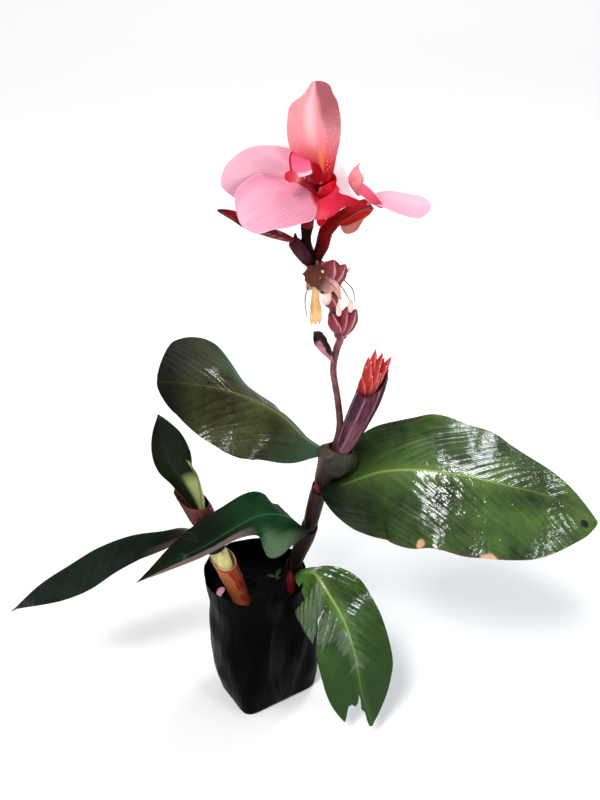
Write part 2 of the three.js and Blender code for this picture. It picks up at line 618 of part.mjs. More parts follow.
const topPetal = {
  spine: [[49.5, -10, 536], [49.5, -11, 548], [48.5, -9.5, 565], [46.2, -8, 583], [44.7, -8, 600],
    [45.3, -12, 616.2]],
  face: [[-0.1, -1, 0.1], [-0.1, -1, 0.1], [-0.1, -1, 0]],
  left: [5, 7, 12, 17, 20, 22.5, 24, 24, 23.5, 21.5, 18, 7, 4.5, 4],
  right: [4, 8, 11, 15, 19, 21, 21, 19, 14.5, 10.5],
  foldLeft: [-5, -5], foldRight: [-25, -30], curlLeft: [-8, -8], curlRight: [-8, -8], roundTip: 0.1,
};
const leftPetal = {
  spine: [[45, -7, 536], [33, -6, 539], [19.9, -6, 542.5], [4.5, -9, 545], [-10.8, -14, 543.5],
    [-27.4, -21, 538.5]],
  face: [[-0.2, -0.9, 0.4], [-0.2, -0.9, 0.4]],
  left: [4, 9, 15, 22, 27, 28, 28, 26, 20, 10], right: [6, 14, 20, 22, 22.5, 22.5, 22, 19, 14, 8],
  foldLeft: [-25, -25], foldRight: [-5, -5], curlLeft: [-15, -15], curlRight: [-12, -12], roundTip: 0.14,
};
const frontPetal = {
  spine: [[46, -13, 533], [34, -21, 531], [22, -31, 528.5], [10, -39, 525], [-2, -46, 520.5],
    [-11.2, -50, 517]],
  face: [[-0.2, -0.8, 0.6], [-0.15, -0.85, 0.5]],
  left: [6, 19, 22, 21, 19, 17.5, 15, 13, 10, 6], right: [4, 14, 24, 30, 33, 33, 31, 27, 21, 14],
  foldLeft: [-15, -15], foldRight: [-5, -5], curlLeft: [-12, -12], curlRight: [-8, -8], roundTip: 0.14,
  columns: 8,
};
const lowerPetal = {
  spine: [[52.2, -12, 535.3], [55.9, -12, 526.7], [61.9, -11.5, 521.2], [72.4, -9, 519.5], [86.7, -6, 517.6]],
  face: [[0.1, -1, 0.2], [0.1, -1, 0.2]],
  left: [10, 11, 11.5, 11, 10, 8, 6.5, 4, 1], right: [3, 6, 20, 19, 12, 5, 2, 1, 0.5],
  foldLeft: [-5, -5], foldRight: [-5, -5], curlLeft: [-8, -8], curlRight: [-8, -8], roundTip: 0.06, rows: 10,
};
const scrollPetal = {
  spine: [[50, -11, 538], [44.5, -13, 549], [37.5, -19, 560], [34.5, -26, 562], [35, -30, 556],
    [36.5, -31.5, 549]],
  face: [[0, -1, 0.1], [-0.1, -1, -0.2], [-0.4, -0.2, -0.9], [-0.2, 0.7, -0.6], [0, 1, -0.2], [0, 1, 0]],
  left: [4, 7, 8.5, 9, 9], right: [4, 7, 8.5, 9, 9],
  foldLeft: [0, 0], foldRight: [0, 0],
  curlLeft: [15, 25], curlRight: [15, 25], rows: 11, columns: 4, roundTip: 0.04,
};
const frontStamen = {
  path: [[45, -16, 537], [38.7, -22, 539.5], [33.2, -28, 545.7], [27.1, -32, 549], [22, -31.5, 549]],
  radius: [2.6, 2.4, 3, 4, 3.6, 1.5], sides: 7, rows: 10, flat: 0.7,
};
const backRightPetal = {
  spine: [[88, 15, 513], [95, 13.5, 516.5], [104, 12, 517.3], [116, 10, 514.7], [129, 8, 512.8],
    [141.1, 6, 511.8]],
  face: [[0, -0.35, 1], [0, -0.35, 1]],
  left: [3, 8, 12, 16, 17.5, 17.5, 15], right: [3, 6, 9, 11, 13, 14, 12],
  foldLeft: [-8, -8], foldRight: [-8, -8], curlLeft: [-8, -8], curlRight: [-8, -8], roundTip: 0.18,
};
const backPalePetal = {
  spine: [[84, 18, 510], [76, 18, 514], [69.5, 19, 520], [65.4, 24, 530], [59.5, 29, 541], [54.5, 32, 551.4]],
  face: [[0.1, -1, 0.1], [0.1, -1, 0.1]],
  left: [2, 4, 8, 12, 13.5, 12, 7], right: [2, 4, 6, 8, 8.5, 8, 5],
  foldLeft: [-5, -5], foldRight: [-5, -5], curlLeft: [-8, -8], curlRight: [-8, -8], roundTip: 0.15,
};
const backLowerPetal = {
  spine: [[94, 15, 509], [88.8, 18, 504], [82.4, 20, 499], [76.7, 20.5, 493], [72.5, 20, 486.2]],
  face: [[0, -1, 0.3], [0, -1, 0.3]],
  left: [2, 4, 5, 7, 8, 7], right: [2, 7, 11, 11, 9, 7],
  foldLeft: [-5, -5], foldRight: [-5, -5], curlLeft: [-8, -8], curlRight: [-8, -8], roundTip: 0.25, rows: 9,
};
const backStrip = {
  spine: [[77.2, 9, 529], [82, 9, 526], [88, 8, 521.5], [94, 7, 516.5], [101.9, 6, 510.9]],
  face: [[-0.3, -0.8, 0.2], [-0.3, -0.8, 0.2]],
  left: [5, 6, 6, 5, 2], right: [3, 3.5, 3.5, 3, 1.5],
  foldLeft: [0, 0], foldRight: [-20, -20],
  curlLeft: [0, 0], curlRight: [0, 0], rows: 7, columns: 4, roundTip: 0.1,
};
const backStamen = {
  path: [[84, 12.5, 520], [80.4, 11, 527.8], [79.5, 11, 532.8], [78.9, 11, 537.8], [80, 11, 543.6],
    [83.1, 11, 547.7]],
  radius: [3, 4.6, 6.4, 6.4, 4, 1, 0], sides: 7, rows: 9, flat: 0.6,
};
const leftSepal = {
  spine: [[29.5, -5, 486.5], [20.9, -8, 490.3], [8, -11, 495.8], [-6.2, -14, 502.8], [-18.8, -15, 510.7],
    [-32.1, -16, 516.9]],
  face: [[-0.2, -0.5, 0.8], [-0.2, -0.5, 0.8]],
  left: [2.5, 4.5, 5.5, 6, 5, 3], right: [2.5, 4.5, 5.5, 6, 5, 3],
  foldLeft: [10, 10], foldRight: [10, 10],
  curlLeft: [20, 20], curlRight: [20, 20], rows: 10, columns: 4, roundTip: 0.2,
};
const frontSepal = {
  spine: [[45.5, -7.5, 516], [49, -8, 512], [51, -7.5, 506], [50.3, -6, 499.6]],
  face: [[0.1, -1, 0.2], [0.1, -1, 0.2]],
  left: [2, 3.5, 4, 3], right: [2, 3.5, 4, 3],
  foldLeft: [10, 10], foldRight: [10, 10],
  curlLeft: [10, 10], curlRight: [10, 10], rows: 5, columns: 4, roundTip: 0.3,
};
const backSepal = {
  spine: [[66.9, 5, 497], [72.5, 6, 499], [79, 8, 501.4], [86.4, 10, 504.4], [94.3, 11.5, 507]],
  face: [[0, -1, 0.2], [0, -1, 0.2]],
  left: [1.8, 3, 3.2, 2.8, 1.2], right: [1.8, 3, 3.2, 2.8, 1.2],
  foldLeft: [10, 10], foldRight: [10, 10],
  curlLeft: [10, 10], curlRight: [10, 10], rows: 6, columns: 4, roundTip: 0.2,
};

// ---------------------------------------------------------------- small things on the soil

const fallenPetal = (x, y, turn, size) => ({
  spine: [-size, 0, size].map((way) => [
    x + way * Math.cos(turn * degree), y + way * Math.sin(turn * degree), soilLevel + (way ? 0.9 : 1.9),
  ]),
  face: [[0, -0.2, 1], [0, -0.2, 1]],
  left: [1.5, 4, 3], right: [1.5, 4, 3],
  foldLeft: [15, 15], foldRight: [10, 10], curlLeft: [20, 20], curlRight: [20, 20],
  rows: 5, columns: 4, roundTip: 0.3,
});

const weedFoot = [9.5, 12, 110];
const weedCrown = [9.5, 12, 118];
const weedStalk = (grow) => tube({
  path: [weedFoot, [9.5, 12, 119]], radius: [0.9, 0.8, 0.7], sides: 5, rows: 2,
}, grow);

/** A weed seedling: a thin stalk with a few round leaves. */
function weedSeedling() {
  const leaf = (turn, length, rise) => {
    const x = Math.cos(turn * degree);
    const y = Math.sin(turn * degree);
    const away = [x * length, y * length, rise];
    const spine = [0.05, 0.5, 1].map((share) => weedCrown.map((value, k) => value + away[k] * share));
    return blade({
      spine, face: [[0, 0, 1], [0, 0, 1]], left: [0.8, 2.6, 2], right: [0.8, 2.6, 2], foldLeft: [5, 5],
      foldRight: [5, 5], curlLeft: [0, 0], curlRight: [0, 0], rows: 2, columns: 2, roundTip: 0.3,
    });
  };
  return join(weedStalk(0), leaf(200, 9, 4), leaf(300, 8, 3), leaf(60, 9, 4));
}

// ---------------------------------------------------------------- build
const stem = (grow) => tube({ path: stemPath, radius: stemRadius, sides: 8, rows: 28 }, grow);
const shoot = (grow) => tube({ path: shootPath, radius: shootRadius, sides: 8, rows: 10 }, grow);
const bladePiece = (shape) => (grow) => blade(shape, grow);
const tubePiece = (shape) => (grow) => tube({ sides: 8, rows: 6, ...shape }, grow);
const cupPiece = (shape) => (grow) => cup(shape, grow);

/** Adds a piece, cut clear of the pieces that it meets. */
function addClear(name, piece, color, roughness, neighbours = []) {
  const tools = neighbours.map((neighbour) => neighbour(seatGap));
  addPart(name, tools.length ? cut(piece(0), ...tools) : piece(0), color, roughness);
}

const spathe = cupPiece(spatheShape);
const basalBud = (grow) => spindle([27.5, -9.5, 108], [24, -12, 146], 4.6, grow);
const stemBud = (grow) => spindle([52.5, -3.5, 236], [48, -7.5, 245.5], 2.8, grow);
const shootSheath = cupPiece({
  path: [[-21, -21, 106], [-26.5, -20, 124], [-32, -19, 142], [-38, -18, 158], [-43.5, -16.5, 173]],
  radius: [7.8, 8.8, 9.8, 10.8, 12], mouthLow: 0.72, facing: [0.6, -0.8, 0.2], sides: 10, rows: 4,
});
const shootTopSheath = cupPiece({
  path: [[-50, -12.5, 188.5], [-54.5, -9.5, 199], [-60, -7, 210], [-67.5, -4.5, 224], [-77, -2, 240]],
  radius: [8.6, 10.8, 13, 14.2, 14], mouthLow: 0.62, facing: [0.9, -0.45, 0.2], sides: 10, rows: 5,
});

addPart('nursery_bag', bagGeometry(), 0x101014, 0.3);
addClear('potting_mix', soilBlock, 0x16110e, 0.95, [rhizome, stem, shoot, basalBud, shootSheath, weedStalk]);
addPart('rhizome', rhizome(), 0xb59a78, 0.8);
addClear('main_stem', stem, 0x3a2226, 0.5, [rhizome]);
addClear('side_shoot', shoot, 0x8f9a4a, 0.5, [rhizome]);
addClear('basal_bud', basalBud, 0x7a1030, 0.4, [rhizome]);
addPart('stem_bud', stemBud(0), 0xb01030, 0.4);

/** Adds a leaf with its sheath, cut clear of the stem and of the pieces that stand in it. */
function addLeaf(name, shape, sheath, color, neighbours, cutters = []) {
  const size = { rows: 15, columns: 8, thickness: leafThickness, crowd: 1.1, ...shape };
  const leaf = () => join(cut(blade(size), ...cutters), ...sheath);
  addClear(name, leaf, color, 0.35, neighbours);
}

addLeaf('leaf_lower_right', lowerRightLeaf, [collar(stemPath, 120, 142, [8.6, 9.6, 9.4, 8])], 0x3f5a2a,
  [stem, basalBud], [...lowerRightTears.map(tear), bagBlock(seatGap)]);
addLeaf('leaf_lower_left', lowerLeftLeaf, [collar(stemPath, 145, 190, [8.2, 9.2, 9.2, 8])], 0x2f5a3a,
  [stem, shootTopSheath]);
addLeaf('leaf_right', rightLeaf, [collar(stemPath, 191, 239, [8, 9, 8.8, 7.4])], 0x46602a,
  [stem, stemBud, cupPiece(upperSheath)]);
addLeaf('leaf_upper_left', upperLeftLeaf, [cup(upperSheath)], 0x4a4a38, [stem, spathe, stemBud]);
addLeaf('leaf_far_left', farLeftLeaf, [collar(shootPath, 175, 187, [9.4, 9.6, 9.2, 8])], 0x2c3a26,
  [shoot, shootSheath, shootTopSheath]);
addLeaf('leaf_young', youngLeaf, [], 0x24321e, [shoot]);
addClear('shoot_lower_sheath', shootSheath, 0x9a4a24, 0.5, [shoot]);
addClear('shoot_upper_sheath', shootTopSheath, 0x4a2024, 0.5, [shoot, bladePiece(youngLeaf)]);

addClear('flower_bract', spathe, 0x5a3448, 0.45, [stem, sideBuds]);
addPart('side_buds', sideBuds(), 0xd8503c, 0.45);
addClear('stalk_bract', bladePiece(stalkBract), 0x4a2a3a, 0.5, [stem]);
addClear('seed_pods_upper', podsUpper, 0x84404c, 0.6, [stem]);
addClear('seed_pods_lower', podsLower, 0x8c4454, 0.6, [stem]);
addClear('withered_wrap', bladePiece(witheredWrap), 0x5a3424, 0.8, [podsUpper]);
addClear('withered_petal', bladePiece(witheredPetal), 0xc8a060, 0.8, [podsUpper, bladePiece(witheredWrap)]);

const ovaries = { front: tubePiece(frontOvary), back: tubePiece(backOvary), left: tubePiece(leftOvary) };
const frontThroat = (grow) => join(tubePiece(frontTube)(grow), cup(frontFunnel, grow));
const backNeck = tubePiece(backTube);
addClear('ovary_left', ovaries.left, 0x4a1e26, 0.5, [stem]);
addClear('ovary_front', ovaries.front, 0x2a0e14, 0.5, [stem, ovaries.left, tubePiece(frontTube)]);
addClear('ovary_back', ovaries.back, 0x5a1822, 0.5, [stem, ovaries.left, ovaries.front, podsUpper]);

// The front flower's rolled petal and its stamen stand inside the throat.
const frontRolls = [tubePiece(frontStamen), bladePiece(scrollPetal)];
addClear('flower_front_throat', frontThroat, 0xa01020, 0.5, frontRolls);
addClear('flower_back_throat', backNeck, 0x8a141e, 0.5, [ovaries.back]);

/** Adds a flower's petals in order, each cut clear of what is placed and of the petals before it. */
function addPetals(pieces, ...placed) {
  for (const [name, piece, color] of pieces) {
    addClear(name, piece, color, 0.45, placed);
    placed.push(piece);
  }
}

addPart('flower_front_stamen', frontRolls[0](0), 0xd02030, 0.45);
addClear('flower_front_scroll', frontRolls[1], 0xd83060, 0.45, [frontRolls[0]]);
addPetals([
  ['flower_front_petal_near', bladePiece(frontPetal), 0xf0a0bc],
  ['flower_front_petal_left', bladePiece(leftPetal), 0xf0a8bc],
  ['flower_front_petal_top', bladePiece(topPetal), 0xe88a90],
  ['flower_front_petal_low', bladePiece(lowerPetal), 0xd84850],
  ['flower_front_sepal', bladePiece(frontSepal), 0xa01424],
], frontThroat, ...frontRolls);
addPetals([
  ['flower_back_stamen', tubePiece(backStamen), 0xd86460],
  ['flower_back_strip', bladePiece(backStrip), 0xd05058],
  ['flower_back_petal_right', bladePiece(backRightPetal), 0xf09cb8],
  ['flower_back_petal_pale', bladePiece(backPalePetal), 0xf8e0e8],
  ['flower_back_petal_low', bladePiece(backLowerPetal), 0xc05a50],
  ['flower_back_sepal', bladePiece(backSepal), 0x6a2418],
], backNeck, bladePiece(lowerPetal));
addClear('flower_left_sepal', bladePiece(leftSepal), 0x6a1420, 0.5, [ovaries.left]);

addPart('fallen_petals', blade(fallenPetal(-46, -11, 75, 10)), 0xe89ab0, 0.7);
addPart('weed_seedling', weedSeedling(), 0x5a6a34, 0.6);

export default group;
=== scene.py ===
import math

import bmesh
import bpy
import numpy as np
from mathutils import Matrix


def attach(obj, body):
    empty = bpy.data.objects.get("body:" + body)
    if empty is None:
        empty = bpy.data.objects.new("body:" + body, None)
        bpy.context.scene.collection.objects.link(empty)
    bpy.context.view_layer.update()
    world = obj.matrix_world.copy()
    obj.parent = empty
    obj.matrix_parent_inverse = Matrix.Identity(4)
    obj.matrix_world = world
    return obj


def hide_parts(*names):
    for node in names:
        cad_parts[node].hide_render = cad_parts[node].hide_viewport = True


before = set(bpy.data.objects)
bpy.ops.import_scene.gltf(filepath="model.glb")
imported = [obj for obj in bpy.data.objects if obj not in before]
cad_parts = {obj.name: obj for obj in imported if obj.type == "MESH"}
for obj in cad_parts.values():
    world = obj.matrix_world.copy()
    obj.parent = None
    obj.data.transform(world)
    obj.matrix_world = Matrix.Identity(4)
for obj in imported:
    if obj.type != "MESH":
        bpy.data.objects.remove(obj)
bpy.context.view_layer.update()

# ---------------------------------------------------------------- camera, floor and light
# The plant is looked at from 30 degrees above, over a plain pale floor, under a soft sun from the front
# left. Small softboxes behind, overhead and in front give the wet leaves their glints, a broad weak one
# fills from the left, and one far behind keeps the floor there pale.
LOOK_DOWN = math.radians(30)


def linear(code):
    """An sRGB hex colour as linear red, green, blue and alpha: the standard curve undone in each channel."""
    channels = [int(code[i:i + 2], 16) / 255 for i in (0, 2, 4)]
    return [c / 12.92 if c <= 0.04045 else ((c + 0.055) / 1.055) ** 2.4 for c in channels] + [1.0]


def add(material, kind, inputs=None, ramp=None, **settings):
    """Adds a node to a material with its settings, its inputs (a value, or another node's output) and the
    stops of its colour ramp, and returns its outputs."""
    tree = material.node_tree
    node = tree.nodes.new("ShaderNode" + kind)
    for key, value in settings.items():
        setattr(node, key, value)
    for key, value in (inputs or {}).items():
        if isinstance(value, bpy.types.NodeSocket):
            tree.links.new(value, node.inputs[key])
        else:
            node.inputs[key].default_value = value
    for i, (place, colour) in enumerate(ramp or []):
        stops = node.color_ramp.elements
        stop = stops[i] if i < 2 else stops.new(place)
        stop.position = place
        stop.color = linear(colour)
    return node.outputs


def new_material(name):
    """A material whose tree of nodes starts empty."""
    material = bpy.data.materials.new(name)
    material.use_nodes = True
    material.node_tree.nodes.clear()
    return material


def scale_for(size):
    """The scale of a texture on Object coordinates, which are in metres, for a grain `size` mm across."""
    return 1000 / size


def soft_light(name, place, aim, size, power, colour="ffffff"):
    """A square area light at `place`, turned to look at `aim`."""
    lamp = bpy.data.lights.new(name, "AREA")
    lamp.size = size
    lamp.energy = power
    lamp.color = linear(colour)[:3]
    holder = bpy.data.objects.new(name, lamp)
    away = np.subtract(place, aim)
    flat = math.hypot(away[0], away[1])
    holder.rotation_euler = (math.atan2(flat, away[2]), 0, math.atan2(away[0], -away[1]))
    holder.location = place
    bpy.context.collection.objects.link(holder)


view = bpy.data.cameras.new("view")
view.lens = 45
view.sensor_width = 36
view.clip_start = 0.01
camera = bpy.data.objects.new("view", view)
camera.location = (0.034, -0.7812, 0.784)
camera.rotation_euler = (math.pi / 2 - LOOK_DOWN, 0, 0)
bpy.context.collection.objects.link(camera)
scene = bpy.context.scene
scene.camera = camera
scene.view_settings.view_transform = "Standard"

soft_light("sheen", (0.66, 1.12, 1.8), (0.1, -0.02, 0.26), 0.5, 14, "f6faff")
soft_light("tip glint", (1.55, 1.05, 1.4), (0.25, -0.03, 0.27), 0.25, 3, "f6faff")
soft_light("overhead", (0.62, 0.12, 2.2), (-0.05, 0, 0.33), 0.3, 4, "f6faff")
soft_light("right glint", (1.4, -1.0, 1.12), (0.08, -0.05, 0.14), 0.36, 8, "f4f8ff")
soft_light("left glint", (-0.62, -1.85, 0.14), (0.06, -0.07, 0.1), 0.24, 2.4, "f4f8ff")
soft_light("fill", (-1.9, -0.9, 0.9), (0.0, 0, 0.35), 1.4, 9)
soft_light("backdrop", (0.0, 4.6, 3.0), (0.0, 4.6, 0), 4.0, 31)

sun = bpy.data.lights.new("key", "SUN")
sun.energy = 2.15
sun.angle = math.radians(18)
sun_holder = bpy.data.objects.new("key", sun)
sun_holder.rotation_euler = (math.radians(36), 0, math.radians(-32))
bpy.context.collection.objects.link(sun_holder)

world = bpy.data.worlds.new("pale studio")
world.use_nodes = True
world.node_tree.nodes["Background"].inputs["Color"].default_value = linear("f3f5f8")
world.node_tree.nodes["Background"].inputs["Strength"].default_value = 0.34
scene.world = world

# Painted paper backdrop: matt and even, a little off white, in clouds a third of a metre wide.
paper = new_material("backdrop_paper")
paper_grain = add(paper, "TexNoise", {"Scale": scale_for(333), "Detail": 2.0})["Fac"]
paper_colour = add(paper, "ValToRGB", {"Fac": paper_grain}, ramp=[(0.3, "f6f6f5"), (0.7, "fbfbfa")])["Color"]
paper_face = add(paper, "BsdfPrincipled", {"Base Color": paper_colour, "Roughness": 0.9})[0]
add(paper, "OutputMaterial", {"Surface": paper_face})

floor_mesh = bpy.data.meshes.new("floor")
reach = 14.0
floor_mesh.from_pydata([(-reach, -reach, 0), (reach, -reach, 0), (reach, reach, 0), (-reach, reach, 0)], [],
                       [(0, 1, 2, 3)])
floor_mesh.materials.append(paper)
floor = bpy.data.objects.new("floor", floor_mesh)
bpy.context.collection.objects.link(floor)

# ---------------------------------------------------------------- rhizome
# The underground stem with its fleshy roots, grown as one piece and buried in the mix. Nothing of it shows,
# so it keeps its solid and only gets a skin.

# Corky pale skin, dull and slightly rough, in flakes of 8 mm.
rhizome_skin = new_material("rhizome_cork")
place = add(rhizome_skin, "TexCoord")["Object"]
cork = add(rhizome_skin, "TexNoise", {"Vector": place, "Scale": scale_for(8.33), "Detail": 5.0})["Fac"]
cork_colour = add(rhizome_skin, "ValToRGB", {"Fac": cork}, ramp=[(0.3, "6f5238"), (0.7, "c3a176")])["Color"]
cork_bump = add(rhizome_skin, "Bump", {"Height": cork, "Strength": 0.5, "Distance": 0.001})["Normal"]
cork_face = add(rhizome_skin, "BsdfPrincipled", {"Base Color": cork_colour, "Roughness": 0.85,
                                                 "Normal": cork_bump})[0]
add(rhizome_skin, "OutputMaterial", {"Surface": cork_face})
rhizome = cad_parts["rhizome"]
rhizome.data.materials.clear()
rhizome.data.materials.append(rhizome_skin)

# ---------------------------------------------------------------- nursery bag
# Blown polythene film, gusseted to a flat oblong bottom and filled until it is round at the mouth. Thin,
# glossy and black, it creases down its corners and crinkles between them; the mouth is a plain cut edge.
BAG_HEIGHT = 136
SOIL_LEVEL = 114


def lumps(points, size, seed, count=9):
    """Smooth random relief, about -1 to 1: the mean of sine waves with seeded directions and phases and
    lengths near `size`, added at each point."""
    draw = np.random.default_rng(seed)
    directions = draw.normal(size=(3, count))
    directions /= np.linalg.norm(directions, axis=0)
    waves = 2 * np.pi / (size * draw.uniform(0.7, 1.5, count))
    return np.sin(points @ (directions * waves) + draw.uniform(0, 2 * np.pi, count)).sum(-1) / (0.5 * count)


def curve(values, t):
    """Smooth value at t, 0 to 1, through evenly spaced values: a Catmull-Rom curve, as whole arrays."""
    values = np.asarray(values, float)
    last = len(values) - 1
    spot = np.clip(np.asarray(t, float) * last, 0, last)
    i = np.minimum(spot.astype(int), last - 1)
    f = spot - i
    extra = (...,) + (None,) * (values.ndim - 1)
    f = f[extra]
    b, c = values[i], values[i + 1]
    a = np.where((i > 0)[extra], values[np.maximum(i - 1, 0)], 2 * b - c)
    d = np.where((i < last - 1)[extra], values[np.minimum(i + 2, last)], 2 * c - b)
    square, cube = 2 * a - 5 * b + 4 * c - d, 3 * b - a - 3 * c + d
    return 0.5 * (2 * b + (c - a) * f + square * f ** 2 + cube * f ** 3)


def sheet(points, upper, lower, relief=0.0, kept=None, wrap=False, **fields):
    """A thin closed skin on a grid of points. The normal is the cross product of the column direction and
    the row direction; the upper side stands `relief + upper` and the lower one `relief - lower` along it,
    and a wall closes each rim of the cells that are kept."""
    rows, columns = points.shape[:2]
    across = np.roll(points, -1, 1) - np.roll(points, 1, 1) if wrap else np.gradient(points, axis=1)
    normal = np.cross(across, np.gradient(points, axis=0))
    size = np.linalg.norm(normal, axis=-1, keepdims=True)
    normal = np.where(size > 1e-7, normal / np.maximum(size, 1e-7), 0)
    spread = [np.broadcast_to(v, (rows, columns))[..., None] for v in (upper, lower, relief)]
    top = points + normal * (spread[2] + spread[0])
    bottom = points + normal * (spread[2] - spread[1])
    count = rows * columns
    index = np.arange(count).reshape(rows, columns)
    beside = np.roll(index, -1, 1) if wrap else index[:, 1:]
    index = index if wrap else index[:, :-1]
    a, b, c, d = index[:-1], beside[:-1], beside[1:], index[1:]
    kept = np.ones(a.shape, bool) if kept is None else kept
    tall = np.pad(kept, ((1, 1), (0, 0)))
    wide = np.pad(kept, ((0, 0), (1, 1)), mode="wrap" if wrap else "constant")
    walls = [
        np.stack([a + count, b + count, b, a], -1)[kept & ~tall[:-2]],
        np.stack([c + count, d + count, d, c], -1)[kept & ~tall[2:]],
        np.stack([d + count, a + count, a, d], -1)[kept & ~wide[:, :-2]],
        np.stack([b + count, c + count, c, b], -1)[kept & ~wide[:, 2:]],
    ]
    faces = np.stack([a, b, c, d], -1)[kept]
    quads = np.concatenate([faces, faces[:, ::-1] + count, *walls])
    side = np.concatenate([np.zeros(len(faces), int), np.ones(len(quads) - len(faces), int)])
    doubled = {k: np.tile(np.broadcast_to(v, (rows, columns)).ravel(), 2) for k, v in fields.items()}
    return {"points": np.concatenate([top.reshape(-1, 3), bottom.reshape(-1, 3)]), "quads": quads,
            "side": side, "fields": doubled}


def make(name, parts, materials, nodes, body="root"):
    """Joins grids, given in millimetres, in one smooth mesh: points that meet are merged, loose ones go,
    and edges sharper than 50 degrees stay crisp. It then rides on its body for the nodes it stands for."""
    offsets = np.cumsum([0] + [len(part["points"]) for part in parts[:-1]])
    mesh = bpy.data.meshes.new(name)
    points = np.concatenate([part["points"] for part in parts]) / 1000
    quads = np.concatenate([part["quads"] + start for part, start in zip(parts, offsets)])
    mesh.vertices.add(len(points))
    mesh.vertices.foreach_set("co", points.ravel())
    mesh.loops.add(quads.size)
    mesh.loops.foreach_set("vertex_index", quads.ravel())
    mesh.polygons.add(len(quads))
    mesh.polygons.foreach_set("loop_start", np.arange(len(quads)) * 4)
    mesh.polygons.foreach_set("material_index", np.concatenate([part["side"] for part in parts]))
    names = sorted({key for part in parts for key in part["fields"]})
    for key in names:
        blank = [np.zeros(len(part["points"])) for part in parts]
        values = [part["fields"].get(key, zero) for part, zero in zip(parts, blank)]
        mesh.attributes.new(key, "FLOAT", "POINT").data.foreach_set("value", np.concatenate(values))
    mesh.update(calc_edges=True)
    tidy = bmesh.new()
    tidy.from_mesh(mesh)
    bmesh.ops.delete(tidy, geom=[v for v in tidy.verts if not v.link_faces], context="VERTS")
    bmesh.ops.remove_doubles(tidy, verts=tidy.verts, dist=2e-6)
    bmesh.ops.dissolve_degenerate(tidy, edges=tidy.edges, dist=1e-7)
    tidy.to_mesh(mesh)
    tidy.free()
    mesh.shade_smooth()
    mesh.set_sharp_from_angle(angle=math.radians(50))
    for material in materials:
        mesh.materials.append(material)
    piece = bpy.data.objects.new(name, mesh)
    bpy.context.collection.objects.link(piece)
    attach(piece, body)
    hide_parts(*nodes)


def bag_wall(angle, height, inset=0.0):
    """The filled bag's side: in a slice, a rounded oblong |cos/long|^n + |sin/short|^n = 1, where the
    lengths, the roundness n and the centre change smoothly with the height."""
    t = height / BAG_HEIGHT
    turn = math.radians(32.7)
    long = curve([44, 52, 54, 53, 52.5], t) - inset
    short = curve([29.5, 42, 48, 50, 52.5], t) - inset
    n = curve([7, 3.4, 2.6, 2.2, 2], t)
    c = np.abs(np.cos(angle - turn) / long) ** n
    s = np.abs(np.sin(angle - turn) / short) ** n
    creases = 0.5 * np.sin(5 * angle + height / 9) + 0.5 * np.sin(8 * angle - height / 13)
    radius = (c + s) ** (-1 / n) + creases * np.sin(np.pi * np.clip(t, 0, 1))
    x = curve([1, -2, -3.5, -5, -11], t) + radius * np.cos(angle)
    y = curve([-20, -12, -6, -2, 0], t) + radius * np.sin(angle)
    return np.stack([x, y, np.broadcast_to(height, x.shape)], -1)


# Low-density polythene, blown and pigmented black: near black, and bright only where a fold pulls it tight.
# Its crinkles are 14 mm across and its folds 42 mm, drawn out down the bag.
film = new_material("black_polythene_film")
place = add(film, "TexCoord")["Object"]
stretched = add(film, "Mapping", {"Vector": place, "Scale": (1.0, 1.0, 0.35)})["Vector"]
crinkle = add(film, "TexNoise", {"Vector": stretched, "Scale": scale_for(14.3), "Detail": 3.0,
                                 "Distortion": 1.6})["Fac"]
fold = add(film, "TexNoise", {"Vector": stretched, "Scale": scale_for(41.7), "Detail": 2.0,
                              "Distortion": 2.4})["Fac"]
film_relief = add(film, "Math", {0: crinkle, 1: fold}, operation="ADD")[0]
film_bump = add(film, "Bump", {"Height": film_relief, "Strength": 0.4, "Distance": 0.002})["Normal"]
dust = add(film, "ValToRGB", {"Fac": fold}, ramp=[(0.35, "020203"), (0.75, "060508")])["Color"]
film_gloss = add(film, "MapRange", {"Value": crinkle, "From Min": 0.3, "From Max": 0.7, "To Min": 0.3,
                                    "To Max": 0.5})[0]
tight = add(film, "MapRange", {"Value": fold, "From Min": 0.54, "From Max": 0.72, "To Max": 0.22})[0]
film_face = add(film, "BsdfPrincipled", {"Base Color": dust, "Roughness": film_gloss, "Coat Weight": tight,
                                         "Coat Roughness": 0.22, "Coat IOR": 1.35, "Coat Normal": film_bump,
                                         "Specular IOR Level": 0.02, "Normal": film_bump})[0]
add(film, "OutputMaterial", {"Surface": film_face})

# Long folds run down the film and shorter ones cross it. Both fade to the foot, which is drawn in under the
# mix's weight, and above the soil the free film flutes and dips more. All depths are in millimetres.
LONG_FOLD, CROSS_FOLD, FREE_FLUTE, FREE_DIP, DRAWN_IN = 0.7, 0.6, 1.2, 2.0, 1.6
FILM = 0.35
angles = np.linspace(0, 2 * np.pi, 160, endpoint=False)[None, :]
heights = np.concatenate([[0.2, 0.6, 1.4, 3], np.linspace(6, BAG_HEIGHT, 74)])[:, None]
side = bag_wall(angles + 0 * heights, heights + 0 * angles)
outward = (side - side.mean(1, keepdims=True)) * [1, 1, 0]
outward /= np.linalg.norm(outward, axis=-1, keepdims=True)
free = np.clip((heights - SOIL_LEVEL) / (BAG_HEIGHT - SOIL_LEVEL), 0, 1)[..., None]
flutes = lumps(np.stack([30 * np.cos(angles) + 0 * heights, 30 * np.sin(angles) + 0 * heights,
                         heights * 0.25 + 0 * angles], -1), 17, 5)[..., None]
crinkles = lumps(side * [1, 1, 0.6], 20, 9)[..., None]
folds = (LONG_FOLD * flutes + CROSS_FOLD * crinkles) * np.clip(heights / 30, 0, 1)[..., None]
film_side = side + outward * (folds - 1.0)
film_side = film_side + free * outward * FREE_FLUTE * flutes
film_side[..., 2] += (free[..., 0] ** 2) * FREE_DIP * lumps(side, 30, 12)
